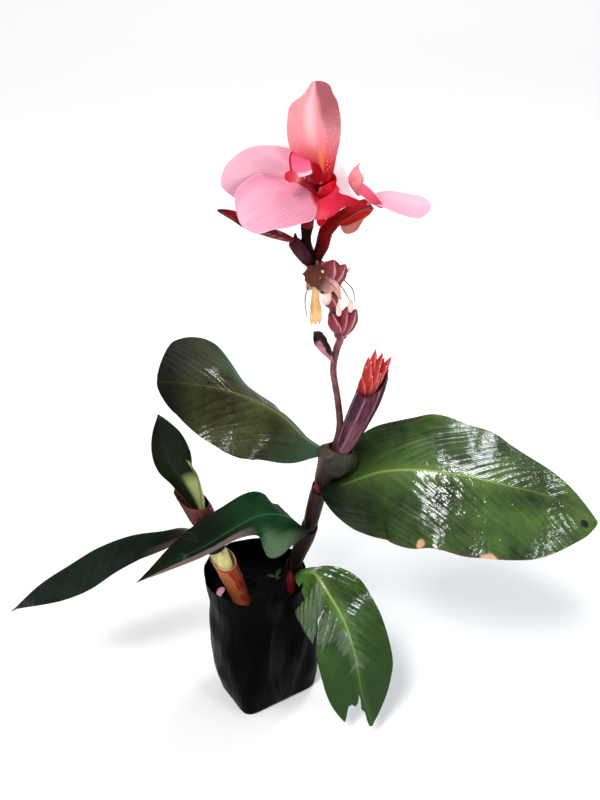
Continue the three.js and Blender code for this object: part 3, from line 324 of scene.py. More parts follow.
film_side = film_side - np.clip((3 - heights) / 3, 0, 1)[..., None] ** 2 * outward * DRAWN_IN
foot = film_side[:1]
share_out = np.linspace(0, 1, 9)[:-1, None, None]
bottom = foot.mean(1, keepdims=True) * (1 - share_out) + foot * share_out
film_grid = np.concatenate([bottom, film_side])
make("bag_film", [sheet(film_grid, 0.0, FILM, wrap=True)], [film, film], ["nursery_bag"])

# ---------------------------------------------------------------- potting mix
# Damp peat with composted bark, tipped in and watered: a dark crumbly surface with chips lying on it.
# It fills the bag to its soil line and keeps a little clear of the film.

# Wet peat: near black, matt, in crumbs of 4 mm and clods of 5 mm.
peat = new_material("damp_peat_and_bark")
place = add(peat, "TexCoord")["Object"]
crumb = add(peat, "TexNoise", {"Vector": place, "Scale": scale_for(3.85), "Detail": 6.0})["Fac"]
clod = add(peat, "TexVoronoi", {"Vector": place, "Scale": scale_for(5.26)})["Distance"]
peat_colour = add(peat, "ValToRGB", {"Fac": crumb},
                  ramp=[(0.3, "030202"), (0.62, "090605"), (0.85, "1c130e")])["Color"]
peat_relief = add(peat, "Math", {0: crumb, 1: clod}, operation="ADD")[0]
peat_bump = add(peat, "Bump", {"Height": peat_relief, "Strength": 0.9, "Distance": 0.003})["Normal"]
peat_face = add(peat, "BsdfPrincipled", {"Base Color": peat_colour, "Roughness": 0.85,
                                         "Specular IOR Level": 0.08, "Normal": peat_bump})[0]
add(peat, "OutputMaterial", {"Surface": peat_face})


def loft(rings, **fields):
    """A closed body through rings of points; where the first and last ring shrink to a point it is capped."""
    rows, columns = rings.shape[:2]
    index = np.arange(rows * columns).reshape(rows, columns)
    beside = np.roll(index, -1, 1)
    quads = np.stack([index[:-1], beside[:-1], beside[1:], index[1:]], -1).reshape(-1, 4)
    flat = {k: np.broadcast_to(v, (rows, columns)).ravel() for k, v in fields.items()}
    return {"points": rings.reshape(-1, 3), "quads": quads, "side": np.zeros(len(quads), int), "fields": flat}


def mix_height(x, y):
    """Height of the mix: level, with slow bumps made of sines, and crumbs as finer random relief."""
    bumps = 1.6 * np.sin(x / 7) * np.cos(y / 6) + 1.1 * np.sin((x + 2 * y) / 9)
    flat = np.stack([x, y, 0 * x], -1)
    return SOIL_LEVEL + bumps + 0.7 * lumps(flat, 5, 3, 14) + 0.4 * lumps(flat, 2.4, 4, 14)


# The mix stands 1.9 mm inside the film, from 6 mm up, and its edge lies 3 mm under the soil line.
FILM_GAP = 1.9
MIX_EDGE = SOIL_LEVEL - 3
FIRST_ROW, LAST_ROW = 4, 64
mix_wall = bag_wall(angles + 0 * heights, np.minimum(heights, MIX_EDGE) + 0 * angles, inset=FILM_GAP)
mix_wall = mix_wall[FIRST_ROW:LAST_ROW]
shrink = np.linspace(1, 0, 56)[:, None, None]
mix_centre = mix_wall[-1:].mean(1, keepdims=True)
mix_top = mix_centre + (mix_wall[-1:] - mix_centre) * shrink
rise = np.clip((1 - shrink[..., 0]) * 8, 0, 1)
mix_top[..., 2] = MIX_EDGE * (1 - rise) + mix_height(mix_top[..., 0], mix_top[..., 1]) * rise
mix_foot = mix_wall[:1].mean(1, keepdims=True) + 0 * mix_wall[:1]
make("mix_surface", [loft(np.concatenate([mix_foot, mix_wall, mix_top]))], [peat], ["potting_mix"])


def chips(count, seed):
    """Bark chips strewn on the mix: each a flattened lump of five rings with six points, drawn with its own
    size, turn and tilt, and set a little into the surface."""
    draw = np.random.default_rng(seed)
    spot = np.sqrt(draw.uniform(0.01, 0.86, count))
    turn = draw.uniform(0, 2 * np.pi, count)
    x = -11 + 49 * spot * np.cos(turn)
    y = 49 * spot * np.sin(turn)
    size = draw.uniform(0.9, 3.2, count)[:, None, None]
    row = np.linspace(0, np.pi, 5)[None, :, None]
    ring = np.linspace(0, 2 * np.pi, 6, endpoint=False)[None, None, :]
    uneven = draw.uniform(0.7, 1.2, (count, 5, 6))
    local = np.stack([np.sin(row) * np.cos(ring), -0.55 * np.sin(row) * np.sin(ring),
                      0.35 * np.cos(row) + 0 * ring], -1)
    local = local * (size * uneven)[..., None]
    spin = draw.uniform(0, 2 * np.pi, count)[:, None, None]
    tilt = draw.uniform(-0.5, 0.5, count)[:, None, None]
    up = local[..., 2] + tilt * local[..., 0]
    east = local[..., 0] * np.cos(spin) - local[..., 1] * np.sin(spin)
    north = local[..., 0] * np.sin(spin) + local[..., 1] * np.cos(spin)
    base = np.stack([x, y, mix_height(x, y) + 0.3], -1)[:, None, None, :]
    return np.stack([east, north, up], -1) + base


make("bark_chips", [loft(rings) for rings in chips(260, 21)], [peat], ["potting_mix"])

# ---------------------------------------------------------------- stems
# The flowering culm is round, smooth and dark maroon, paler and pinker up the flower stalk. The side
# shoot's culm is hidden by its sheaths almost to the top.


def frame_along(path, facing, t):
    """Points on a path at t, with the forward direction, `facing` made square to it, and the direction to
    its right, forward x facing."""
    step = 1e-3
    forward = curve(path, np.minimum(t + step, 1)) - curve(path, np.maximum(t - step, 0))
    forward /= np.linalg.norm(forward, axis=-1, keepdims=True)
    up = np.broadcast_to(facing, forward.shape)
    up = up - forward * (forward * up).sum(-1, keepdims=True)
    up /= np.linalg.norm(up, axis=-1, keepdims=True)
    return curve(path, t), forward, up, np.cross(forward, up)


def tube(path, radius, sides=28, rows=60, flat=1.0, facing=(0.3, -1, 0.2), ridges=0, ridge=0.0, cap=0.02,
         rough=0.0, grain=3.0, seed=1):
    """A round body along a path: circles of the listed radius, with cosine ridges and random relief, whose
    ends close with an elliptic cap over the last part of the length."""
    t = 0.5 - 0.5 * np.cos(np.linspace(0, np.pi, rows + 1))
    centre, forward, up, right = frame_along(path, facing, t)
    near = np.minimum(t, 1 - t) / cap
    closing = np.sqrt(np.clip(1 - (1 - np.minimum(near, 1)) ** 2, 0, 1))
    angle = np.linspace(0, 2 * np.pi, sides, endpoint=False)[None, :]
    size = (np.maximum(curve(radius, t), 0) * closing)[:, None] * (1 + ridge * np.cos(ridges * angle))
    offset = right[:, None] * (size * np.sin(angle))[..., None]
    offset = offset + up[:, None] * (size * flat * np.cos(angle))[..., None]
    rings = centre[:, None] + offset
    if rough:
        relief = rough * lumps(rings, grain, seed)[..., None] * closing[:, None, None]
        rings = rings + relief * offset / np.maximum(np.linalg.norm(offset, axis=-1, keepdims=True), 1e-6)
    length = np.linalg.norm(np.diff(curve(path, t), axis=0), axis=1).cumsum()
    along = np.concatenate([[0], length])[:, None]
    return loft(rings, along=along + 0 * angle, turn=angle + 0 * along, share=t[:, None] + 0 * angle,
                edge=t[:, None] + 0 * angle)


def stem_skin(name, low, high, streak, start, end, gloss, specular=0.2, rim=None, side=None, ridge=None):
    """Plant skin that turns from one colour to another up the piece, with streaks an eighth of a radian wide
    and 12 mm long, and a mottle of 11 mm. A rim has its own colour from an edge share on; `side` tints the
    skin round one angle, and `ridge` a number of ridges: the cosine of so many times the angle, sharpened."""
    material = new_material(name)
    along = add(material, "Attribute", attribute_name="along")["Fac"]
    turn = add(material, "Attribute", attribute_name="turn")["Fac"]
    long_grain = add(material, "CombineXYZ", {"X": turn, "Y": along})[0]
    fine = add(material, "Mapping", {"Vector": long_grain, "Scale": (5.0, 0.05, 1.0)})["Vector"]
    streaks = add(material, "TexNoise", {"Vector": fine, "Scale": 1.6, "Detail": 4.0})["Fac"]
    place = add(material, "TexCoord")["Object"]
    mottle = add(material, "TexNoise", {"Vector": place, "Scale": scale_for(11.11), "Detail": 4.0})["Fac"]
    up = add(material, "MapRange", {"Value": along, "From Min": start, "From Max": end})[0]
    ground = add(material, "Mix", {0: up, 6: linear(low), 7: linear(high)}, data_type="RGBA")[2]
    level = add(material, "Math", {0: streaks, 1: mottle}, operation="ADD")[0]
    amount = add(material, "MapRange", {"Value": level, "From Min": 0.9, "From Max": 1.3})[0]
    colour = add(material, "Mix", {0: amount, 6: ground, 7: linear(streak)}, data_type="RGBA")[2]
    for tint, around, count, low_edge, high_edge in [v for v in (side, ridge) if v]:
        lobe = add(material, "Math", {0: turn, 1: around}, operation="SUBTRACT")[0]
        lobe = add(material, "Math", {0: lobe, 1: count}, operation="MULTIPLY")[0]
        lobe = add(material, "Math", {0: lobe}, operation="COSINE")[0]
        lobe = add(material, "Math", {0: mottle, 1: 0.5, 2: lobe}, operation="MULTIPLY_ADD")[0]
        lobe = add(material, "MapRange", {"Value": lobe, "From Min": low_edge, "From Max": high_edge})[0]
        colour = add(material, "Mix", {0: lobe, 6: colour, 7: linear(tint)}, data_type="RGBA")[2]
    if rim:
        edge = add(material, "Attribute", attribute_name="edge")["Fac"]
        last = add(material, "MapRange", {"Value": edge, "From Min": rim[1], "From Max": rim[1] + 0.02})[0]
        colour = add(material, "Mix", {0: last, 6: colour, 7: linear(rim[0])}, data_type="RGBA")[2]
    relief = add(material, "Bump", {"Height": level, "Strength": 0.25, "Distance": 0.0006})["Normal"]
    face = add(material, "BsdfPrincipled", {"Base Color": colour, "Roughness": gloss, "Normal": relief,
                                            "Specular IOR Level": specular})[0]
    add(material, "OutputMaterial", {"Surface": face})
    return material


# Waxy epidermis over maroon pigment: near black below, plum-brown at the fork.
culm_skin = stem_skin("maroon_culm_skin", "2c1813", "945a5c", "3c1e1c", 190, 290, 0.4, 0.12)
# The same skin with less pigment: green showing through.
shoot_skin = stem_skin("pale_shoot_skin", "b0a862", "d8cf8e", "8f8a4a", 40, 75, 0.45)

STEM = [[19, 6, 84], [22.8, 6, 112], [31, 6, 148], [41.5, 6, 179], [47.5, 5, 208], [54, 4, 240],
        [59.5, 2.5, 262], [66.5, 1, 281], [70.6, 0, 306], [67.3, 0, 338], [63.5, 0, 364], [66, 0, 384],
        [69.6, 0, 398], [65, 0, 414.5], [58.7, 0, 431.5], [53.4, 0, 447], [48.6, 0, 462], [46.2, 0.2, 469]]
STEM_RADIUS = [6, 6.5, 6.5, 6.5, 6.2, 5.8, 5, 4, 3.3, 3, 3, 3.2, 3.2, 3, 2.8, 2.8, 3.2, 4]
SHOOT = [[-18, -22, 84], [-22.7, -20, 111], [-36, -17, 145], [-46, -14, 172], [-57, -10, 200]]
SHOOT_RADIUS = [6.5, 6.8, 8.6, 8.4, 6]
make("culm", [tube(STEM, STEM_RADIUS, rows=150, rough=0.12, grain=9, seed=4)], [culm_skin], ["main_stem"])
make("young_culm", [tube(SHOOT, SHOOT_RADIUS, rough=0.1, grain=9)], [shoot_skin], ["side_shoot"])

# ---------------------------------------------------------------- leaves
# Each leaf is a broad blade on a strong midrib, with side veins that leave it slanting and bend towards
# the tip, and a sheath that wraps the culm below. The skin is waxy and wet, so it shines in streaks
# along the veins; margins are thin and waved, and dry out brown in places.


def blade(shape, rows=130, columns=64, thin=0.22, vein_pitch=13.0, vein_depth=0.22, tears=(), lift=0.0,
          seed=7):
    """A blade on a bent spine. Each half starts at its fold angle and bends by its curl angle: at a share v
    of the half width w it stands out w (sin(fold + curl v) - sin fold) / curl to the side and
    w (cos fold - cos(fold + curl v)) / curl up. A sine waves the margin. Side veins are lines of equal
    `vein`, the length along the spine less what a vein gains on its way out. The cells whose middle lies in
    a tear's outline, drawn round a corner point as it looks from 30 degrees above, are left out."""
    t = 1 - (1 - np.linspace(0, 1, rows + 1)) ** 1.2
    q = np.linspace(-1, 1, columns + 1)[None, :]
    centre, forward, up, right = frame_along(shape["spine"], curve(shape["face"], t), t)
    on_right = q >= 0
    v = np.abs(q)

    def half(name):
        """The listed values at t: those of each half, or the same ones for both."""
        left, right = [curve(shape.get(name + side, shape.get(name)), t)[:, None]
                       for side in ("_left", "_right")]
        return np.where(on_right, right, left)

    tip = shape.get("tip", 0.03)
    rounding = np.sqrt(np.clip(1 - (np.maximum(t - 1 + tip, 0) / tip) ** 2, 0, 1))[:, None]
    width = np.maximum(half("width"), 0) * rounding
    fold, curl = np.radians(half("fold")), np.radians(half("curl")) + 1e-4
    out = width * (np.sin(fold + curl * v) - np.sin(fold)) / curl * np.where(on_right, 1, -1)
    wave = shape.get("wave", 0) * v ** 2 * rounding
    wave = wave * np.sin(2 * np.pi * shape.get("waves", 3) * t[:, None] + np.where(on_right, 0, 2))
    height = width * (np.cos(fold) - np.cos(fold + curl * v)) / curl + wave
    points = centre[:, None] + right[:, None] * out[..., None] + up[:, None] * height[..., None]
    steps = np.linalg.norm(np.diff(curve(shape["spine"], t), axis=0), axis=1)
    along = np.concatenate([[0], steps.cumsum()])[:, None] + 0 * q
    across = width * q
    vein = along - 1.1 * np.abs(across) - across ** 2 / 90
    away = np.clip((np.abs(across) - 1.5) / 7, 0, 1) * (1 - v ** 6) * (1 - t[:, None] ** 8)
    relief = vein_depth * np.sin(2 * np.pi * vein / vein_pitch) * away
    relief = relief + 0.8 * vein_depth * lumps(points, 16, seed) * away + lift
    rib = np.maximum(curve(shape.get("rib", [0, 0]), t), 0)[:, None]
    lower = thin + rib * np.exp(-(across / (0.8 + rib)) ** 2)
    upper = thin - 0.35 * thin * np.exp(-(across / 1.4) ** 2)
    kept = np.ones((rows, columns), bool)
    for corner, outline in tears:
        mid = 0.25 * (points[:-1, :-1] + points[1:, :-1] + points[:-1, 1:] + points[1:, 1:]) - corner
        seen_up = mid[..., 1] * math.sin(LOOK_DOWN) + mid[..., 2] * math.cos(LOOK_DOWN)
        kept &= ~inside(np.asarray(outline, float), np.stack([mid[..., 0], seen_up], -1))
    return sheet(points, upper, lower, relief, kept, along=along, across=across, vein=vein,
                 edge=v + 0 * along, share=t[:, None] + 0 * q, half=q + 0 * along)


def inside(outline, spots):
    """Which spots lie inside an outline: those where a line to the right crosses its edges an odd number
    of times."""
    start, end = outline, np.roll(outline, -1, 0)
    x, y = spots[..., 0, None], spots[..., 1, None]
    level = (start[:, 1] > y) != (end[:, 1] > y)
    slope = (end[:, 0] - start[:, 0]) / (end[:, 1] - start[:, 1] + 1e-9)
    return (level & (x < start[:, 0] + slope * (y - start[:, 1]))).sum(-1) % 2 == 1


def wrap(path, radius, low, facing=(0, -1, 0.2), flat=1.0, wall=0.5, rows=50, sides=72, frill=0.4, seed=3):
    """A sheath round a path, open above: rings whose mouth slants from t = low on the side it faces to 1
    behind. Fine ribs run up it, and its rim is a little uneven."""
    s = np.linspace(0, 1, rows + 1)[:, None]
    angle = np.linspace(0, 2 * np.pi, sides, endpoint=False)[None, :]
    rim = low + (1 - low) * (0.5 - 0.5 * np.cos(angle))
    t = s * rim
    centre, forward, up, right = frame_along(path, facing, t)
    size = curve(radius, t) - wall / 2
    ribs = 0.12 * np.cos(angle * 26) * np.clip(size / 6, 0, 1)
    ring = 8 * np.stack([np.cos(angle + 0 * s), np.sin(angle + 0 * s), 0 * t], -1)
    uneven = frill * s ** 6 * lumps(centre + ring, 7, seed)
    points = centre + right * ((size + ribs + uneven) * np.sin(angle))[..., None]
    points = points + up * ((size * flat + ribs + uneven) * np.cos(angle))[..., None]
    length = np.linalg.norm(np.diff(curve(path, s[:, 0]), axis=0), axis=1).sum()
    return sheet(points, wall / 2, wall / 2, wrap=True, along=t * length, across=8 + 0 * t, half=0 * t,
                 turn=angle + 0 * s, vein=angle * 9 + 0 * s, share=s + 0 * angle, edge=s + 0 * angle)


def painted(part, upper, lower):
    """The same grid with other places in the list of materials for its two sides."""
    return {**part, "side": np.where(part["side"] == 0, upper, lower)}


def collar(path, low, high, radius):
    """The part of a leaf that wraps the culm between two heights, as a sheath whose mouth slants by a fifth
    of its length."""
    t = np.linspace(0, 1, 400)
    start, end = np.interp([low, high], curve(path, t)[:, 2], t)
    return painted(wrap(curve(path, np.linspace(start, end, 6)), radius, 0.8, rows=40), 2, 2)


def leaf_skin(name, deep, green, rib, rim, rib_width=2.4, halo=0.4, wet=0.5, gloss=(0.13, 0.42), drops=None,
              foot=None, head=None, patches_and_sheen=(), spots=(), specular=(0.12, 0.5)):
    """Leaf skin. A mottle of 38 mm, streaks 6 mm wide and 45 mm long, and faint 3 mm bands along the side
    veins run between two greens. The midrib has its own colour, narrows to the tip and fades into a halo;
    `foot` tints the near end, `head` the far one, and each patch a part of one half between two shares of
    the length; a patch may be a painted sheen rather than a colour of the leaf. Spots are dry patches, each
    with its length along, distance across, radius in mm and colour. Wet patches 50 mm wide, more of them for
    a higher `wet`, are glossy, though the foot and the head stay drier, and 3 mm beads of water stand round
    the place that `drops` gives: length along, distance across and reach."""
    material = new_material(name)
    place = add(material, "TexCoord")["Object"]
    vein, along, across, edge, share, half = [add(material, "Attribute", attribute_name=key)["Fac"]
                                              for key in ("vein", "along", "across", "edge", "share", "half")]
    mottle = add(material, "TexNoise", {"Vector": place, "Scale": scale_for(38.46), "Detail": 5.0,
                                        "Roughness": 0.6})["Fac"]
    grain = add(material, "CombineXYZ", {"X": vein, "Y": across})[0]
    long_grain = add(material, "Mapping", {"Vector": grain, "Scale": (0.16, 0.022, 1.0)})["Vector"]
    streak = add(material, "TexNoise", {"Vector": long_grain, "Scale": 1.0, "Detail": 3.0,
                                        "Roughness": 0.5})["Fac"]
    bent = add(material, "Math", {0: mottle, 1: 3.0, 2: vein}, operation="MULTIPLY_ADD")[0]
    turn = add(material, "Math", {0: bent, 1: 2 * math.pi / 3.2}, operation="MULTIPLY")[0]
    fine = add(material, "Math", {0: turn}, operation="SINE")[0]
    level = add(material, "Math", {0: streak, 1: 0.36, 2: mottle}, operation="MULTIPLY_ADD")[0]
    level = add(material, "Math", {0: fine, 1: 0.02, 2: level}, operation="MULTIPLY_ADD")[0]
    amount = add(material, "MapRange", {"Value": level, "From Min": 0.5, "From Max": 0.9})[0]
    colour = add(material, "Mix", {0: amount, 6: linear(deep), 7: linear(green)}, data_type="RGBA")[2]
    for tint, low, high, start, end in patches_and_sheen:
        reach = add(material, "MapRange", {"Value": half, "From Min": low, "From Max": high})[0]
        later = add(material, "MapRange", {"Value": share, "From Min": start, "From Max": end})[0]
        reach = add(material, "Math", {0: reach, 1: later}, operation="MULTIPLY")[0]
        colour = add(material, "Mix", {0: reach, 6: colour, 7: linear(tint)}, data_type="RGBA")[2]
    below = beyond = 0.0
    if head:
        beyond = add(material, "MapRange", {"Value": share, "From Min": head[1], "From Max": head[2]})[0]
        colour = add(material, "Mix", {0: beyond, 6: colour, 7: linear(head[0])}, data_type="RGBA")[2]
    distance = add(material, "Math", {0: across}, operation="ABSOLUTE")[0]
    narrow = add(material, "MapRange", {"Value": share, "To Min": rib_width, "To Max": 0.25 * rib_width})[0]
    ratio = add(material, "Math", {0: distance, 1: narrow}, operation="DIVIDE")[0]
    on_rib = add(material, "MapRange", {"Value": ratio, "From Min": 0.35, "From Max": 1.0, "To Min": 1.0,
                                        "To Max": 0.0})[0]
    around = add(material, "MapRange", {"Value": ratio, "From Min": 0.8, "From Max": 7.0, "To Min": halo,
                                        "To Max": 0.0})[0]
    fading = add(material, "MapRange", {"Value": share, "From Min": 0.5, "From Max": 0.9, "To Min": 1.0,
                                        "To Max": 0.15})[0]
    pale = add(material, "Math", {0: on_rib, 1: around}, operation="MAXIMUM")[0]
    pale = add(material, "Math", {0: pale, 1: fading}, operation="MULTIPLY")[0]
    colour = add(material, "Mix", {0: pale, 6: colour, 7: linear(rib)}, data_type="RGBA")[2]
    if foot:
        below = add(material, "MapRange", {"Value": share, "From Min": foot[1], "From Max": foot[2],
                                           "To Min": 1.0, "To Max": 0.0})[0]
        colour = add(material, "Mix", {0: below, 6: colour, 7: linear(foot[0])}, data_type="RGBA")[2]
    dry = add(material, "TexNoise", {"Vector": place, "Scale": scale_for(14.29), "Detail": 3.0})["Fac"]
    ragged = add(material, "Math", {0: dry, 1: 0.05, 2: edge}, operation="MULTIPLY_ADD")[0]
    on_rim = add(material, "MapRange", {"Value": ragged, "From Min": 1.0, "From Max": 1.018})[0]
    colour = add(material, "Mix", {0: on_rim, 6: colour, 7: linear(rim)}, data_type="RGBA")[2]
    here = add(material, "CombineXYZ", {"X": along, "Y": across})[0]
    for spot_along, spot_across, size, tint in spots:
        gap = add(material, "VectorMath", {0: here, 1: (spot_along, spot_across, 0.0)},
                  operation="DISTANCE")["Value"]
        uneven = add(material, "Math", {0: dry, 1: size * 1.6, 2: gap}, operation="MULTIPLY_ADD")[0]
        inner = add(material, "MapRange", {"Value": uneven, "From Min": size * 1.35, "From Max": size * 1.6,
                                           "To Min": 1.0, "To Max": 0.0})[0]
        colour = add(material, "Mix", {0: inner, 6: colour, 7: linear(tint)}, data_type="RGBA")[2]
    wander = add(material, "TexNoise", {"Vector": place, "Scale": scale_for(50), "Detail": 2.0})["Fac"]
    damp = add(material, "Math", {0: streak, 1: 0.45, 2: wander}, operation="MULTIPLY_ADD")[0]
    damp = add(material, "Math", {0: below, 1: -0.6, 2: damp}, operation="MULTIPLY_ADD")[0]
    damp = add(material, "Math", {0: beyond, 1: -0.4, 2: damp}, operation="MULTIPLY_ADD")[0]
    shine = add(material, "MapRange", {"Value": damp, "From Min": 0.98 - 0.5 * wet,
                                       "From Max": 1.05 - 0.5 * wet, "To Min": gloss[1],
                                       "To Max": gloss[0]})[0]
    film_of_water = add(material, "MapRange", {"Value": shine, "From Min": gloss[0], "From Max": gloss[1],
                                               "To Min": specular[1], "To Max": specular[0]})[0]
    crinkle = add(material, "TexNoise", {"Vector": place, "Scale": scale_for(5.26), "Detail": 2.0})["Fac"]
    relief = add(material, "Math", {0: fine, 1: 0.05, 2: crinkle}, operation="MULTIPLY_ADD")[0]
    relief = add(material, "Math", {0: streak, 1: 0.6, 2: relief}, operation="MULTIPLY_ADD")[0]
    relief = add(material, "Math", {0: wander, 1: 2.0, 2: relief}, operation="MULTIPLY_ADD")[0]
    bump = add(material, "Bump", {"Height": relief, "Strength": 0.45, "Distance": 0.0012})["Normal"]
    if drops:
        cell = add(material, "TexVoronoi", {"Vector": place, "Scale": scale_for(2.632)})["Distance"]
        bead = add(material, "MapRange", {"Value": cell, "From Min": 0.1, "From Max": 0.36, "To Min": 1.0,
                                          "To Max": 0.0}, interpolation_type="SMOOTHSTEP")[0]
        gap = add(material, "VectorMath", {0: here, 1: (drops[0], drops[1], 0.0)},
                  operation="DISTANCE")["Value"]
        gap = add(material, "Math", {0: mottle, 1: -0.9 * drops[2], 2: gap}, operation="MULTIPLY_ADD")[0]
        where = add(material, "MapRange", {"Value": gap, "From Min": 0.35 * drops[2],
                                           "From Max": 0.6 * drops[2], "To Min": 1.0, "To Max": 0.0})[0]
        bead = add(material, "Math", {0: bead, 1: where}, operation="MULTIPLY")[0]
        bump = add(material, "Bump", {"Height": bead, "Strength": 1.0, "Distance": 0.0009,
                                      "Normal": bump})["Normal"]
        shine = add(material, "Math", {0: bead, 1: -0.4, 2: shine}, operation="MULTIPLY_ADD",
                    use_clamp=True)[0]
    face = add(material, "BsdfPrincipled", {"Base Color": colour, "Roughness": shine, "Normal": bump,
                                            "Specular IOR Level": film_of_water})[0]
    add(material, "OutputMaterial", {"Surface": face})
    return material


# Waxy skin, bronze-green above, near black at its far end and sea-green at the foot; a paler sea-green
# along the upper side near the stem is a painted sheen. Beads of rain stand on it in drifts.
bronze_leaf = leaf_skin(
    "bronze_leaf_skin", "25220f", "464c28", "6c7434", "1c1410", 1.2, 0.2, 0.42, drops=(104, -4, 46),
    foot=("2c4c3c", 0.02, 0.28), specular=(0.07, 0.5), head=("0c0e05", 0.7, 0.93),
    patches_and_sheen=[("3c6450", 0.45, 0.85, 0.75, 0.55)])
# Mature green blades, wet: pale midrib, deep green between the side veins, and dry spots at the rim.
wide_leaf = leaf_skin(
    "wide_green_leaf_skin", "18280b", "4a682b", "86a050", "5c3b26", 2.6, 0.24, 0.7, specular=(0.1, 0.7),
    foot=("0a1806", 0.1, 0.44),
    spots=[(108, 66, 7, "c89a76"), (178, 68, 8, "cf9c7c"), (262, 8, 6, "0c0806")])
torn_leaf = leaf_skin(
    "torn_green_leaf_skin", "18290c", "42632b", "7c9c4c", "30261a", 3.0, 0.26, 0.8, specular=(0.1, 0.8),
    foot=("44702e", 0.02, 0.2), head=("263f1a", 0.55, 0.85))
# Drier, darker skins: blue-green on the arched leaf, whose near half shows mauve, and near black on the leaf
# in shade and on the unrolling leaf, where the near black is painted shade.
dark_leaf = leaf_skin(
    "arched_leaf_skin", "08180a", "1a4424", "2c5c38", "1d130f", 1.2, 0.15, 0.1, (0.22, 0.55),
    foot=("120b0a", 0.06, 0.16), specular=(0.04, 0.3),
    patches_and_sheen=[("0c1607", -2.0, -1.0, 0.38, 0.66), ("76675f", -0.35, -0.5, 0.46, 0.6),
            ("4a6248", -0.3, -0.6, 0.4, 0.3)])
black_leaf = leaf_skin(
    "shaded_leaf_skin", "040804", "0e2014", "1a3020", "2a1612", 1.2, 0.2, 0.25,
    foot=("3a2624", 0.05, 0.25), patches_and_sheen=[("54423e", -0.6, -0.8, 0.4, 0.25)])
inner_leaf = leaf_skin(
    "unrolling_leaf_skin", "050a03", "11200b", "1c3014", "6a4a36", 1.0, 0.2, 0.2,
    patches_and_sheen=[("98a566", 0.5, 0.62, 0.52, 0.46), ("98a566", 0.0, 0.12, 0.36, 0.26)])
# Undersides are duller and paler, with mauve pigment; the rolled young leaf shows its fresh green back.
under_leaf = leaf_skin(
    "leaf_underside_skin", "34382c", "5a5f4c", "7d8460", "3a2420", 2.6, 0.2, 0.2, (0.35, 0.55))
fresh_under = leaf_skin(
    "young_underside_skin", "6b7c3c", "a0ac60", "a9b36a", "5a3026", 1.6, 0.3, 0.5, (0.3, 0.5))
# Sheaths are ribbed and only waxy: maroon, and olive where the upper one bulges, with a red-brown rim.
leaf_sheath = stem_skin("maroon_sheath_skin", "1a0f0d", "3c241f", "120a09", 0, 50, 0.42, 0.12)
sack_sheath = stem_skin("olive_sheath_skin", "30221e", "3a3c30", "1c1612", 6, 26, 0.42, 0.1,
                        rim=("4a2624", 0.97), side=("5a4038", 5.2, 1, 1.1, 1.4))


UPPER_LEFT_LEAF = {
    "spine": [[60, 0.5, 277], [41.4, 3, 287.4], [19.3, 7, 309.8], [-0.9, 12, 321.3], [-24.6, 15, 331.2],
              [-48.2, 16, 337.5], [-70.6, 14, 342.2], [-95.5, 10, 346.6]],
    "face": [[-0.3, -0.35, 0.9], [-0.15, -0.35, 0.9], [0, -0.35, 0.94], [0, -0.4, 0.92], [0, -0.45, 0.9],
             [-0.1, -0.5, 0.85], [-0.2, -0.5, 0.8]],
    "width_left": [4.5, 14, 34, 48, 53.5, 55.5, 56, 53.5, 48, 41, 30, 18],
    "width_right": [4, 14, 28, 40, 46, 46, 42, 48, 60, 60, 50, 30],
    "fold_left": [-10, -15, -10, -5, -3, 0], "fold_right": [-50, -52, -46, -38, -14, -5, 0],
    "curl_left": [0, -10, -15, -15, -10], "curl_right": [0, -8, -10, -10, -10],
    "wave": 1.2, "waves": 3.2, "rib": [2.2, 1.8, 1.2, 0.6, 0.2], "tip": 0.09,
}
UPPER_SHEATH = {
    "path": [[55, 3, 242.5], [58.5, 1.5, 253], [64.5, -1, 264.4], [69.5, -2, 275], [72, -2.5, 285]],
    "radius": [7.6, 10, 15.5, 19, 10.5], "flat": 0.8, "low": 0.95,
}
RIGHT_LEAF = {
    "spine": [[54, -3, 235], [76, -12, 249.4], [107.4, -20, 268.3], [142.5, -30, 277.3], [177.5, -38, 277.3],
              [212.7, -45, 272.3], [257.6, -50, 261.7], [303.9, -52, 235.4]],
    "face": [[-0.3, -0.3, 0.9], [0, -0.35, 0.94], [0, -0.35, 0.94], [0, -0.35, 0.94], [0.1, -0.35, 0.94]],
    "width_left": [5, 18, 43, 63, 73, 74, 68, 60, 45, 25, 4],
    "width_right": [5, 32, 56, 66, 70, 70, 70, 69, 64, 50, 10],
    "fold_left": [10, 0, -8, -8, -5, 0], "fold_right": [-10, -28, -28, -24, -20, -10],
    "curl_left": [0, 0, 0, -5, -10], "curl_right": [0, 0, 0, -5, -5],
    "wave": 1.8, "waves": 4.3, "rib": [2.2, 2, 1.4, 0.8, 0.2],
}
LOWER_RIGHT_LEAF = {
    "spine": [[31, -1.5, 134], [42.8, -18, 149.1], [50.3, -34, 157.5], [61.2, -50, 148.9], [76.4, -66, 127.8],
              [86.8, -78, 96.4], [93.3, -86, 59.8], [105.5, -92, 17]],
    "face": [[-0.2, -0.5, 0.85], [-0.1, -0.6, 0.8], [0, -0.75, 0.65], [0, -0.9, 0.45], [0.1, -0.9, 0.35],
             [0.1, -1, 0.25], [0.1, -1, 0.1]],
    "width_left": [4, 7, 11, 22, 31.5, 35.5, 36.5, 39, 39, 37, 25.5, 0],
    "width_right": [4, 22, 62, 56, 45, 46.5, 45.5, 40, 39, 37, 33, 22],
    "fold_left": [-20, -20, -20, -20, -15, -10], "fold_right": [15, -35, -35, -22, -18, -15, -10],
    "curl_left": [-10, -10], "curl_right": [0, -10, -10, 0],
    "wave": 0.8, "waves": 3.6, "rib": [1.4, 1.4, 1.2, 0.8, 0.2],
}
TORN_TIP = [[-29, -18], [-29.5, 1], [-27, 5], [-25.6, 12], [-24.6, 20.6], [-21, 23.4], [-17.6, 21.8],
            [-15.3, 25.2], [-14.4, 34.9], [-12.6, 29], [-11.6, 18.5], [-8.2, 15.6], [-5.6, 5], [-3.6, 0.6],
            [0.8, -2.2], [3, -18]]
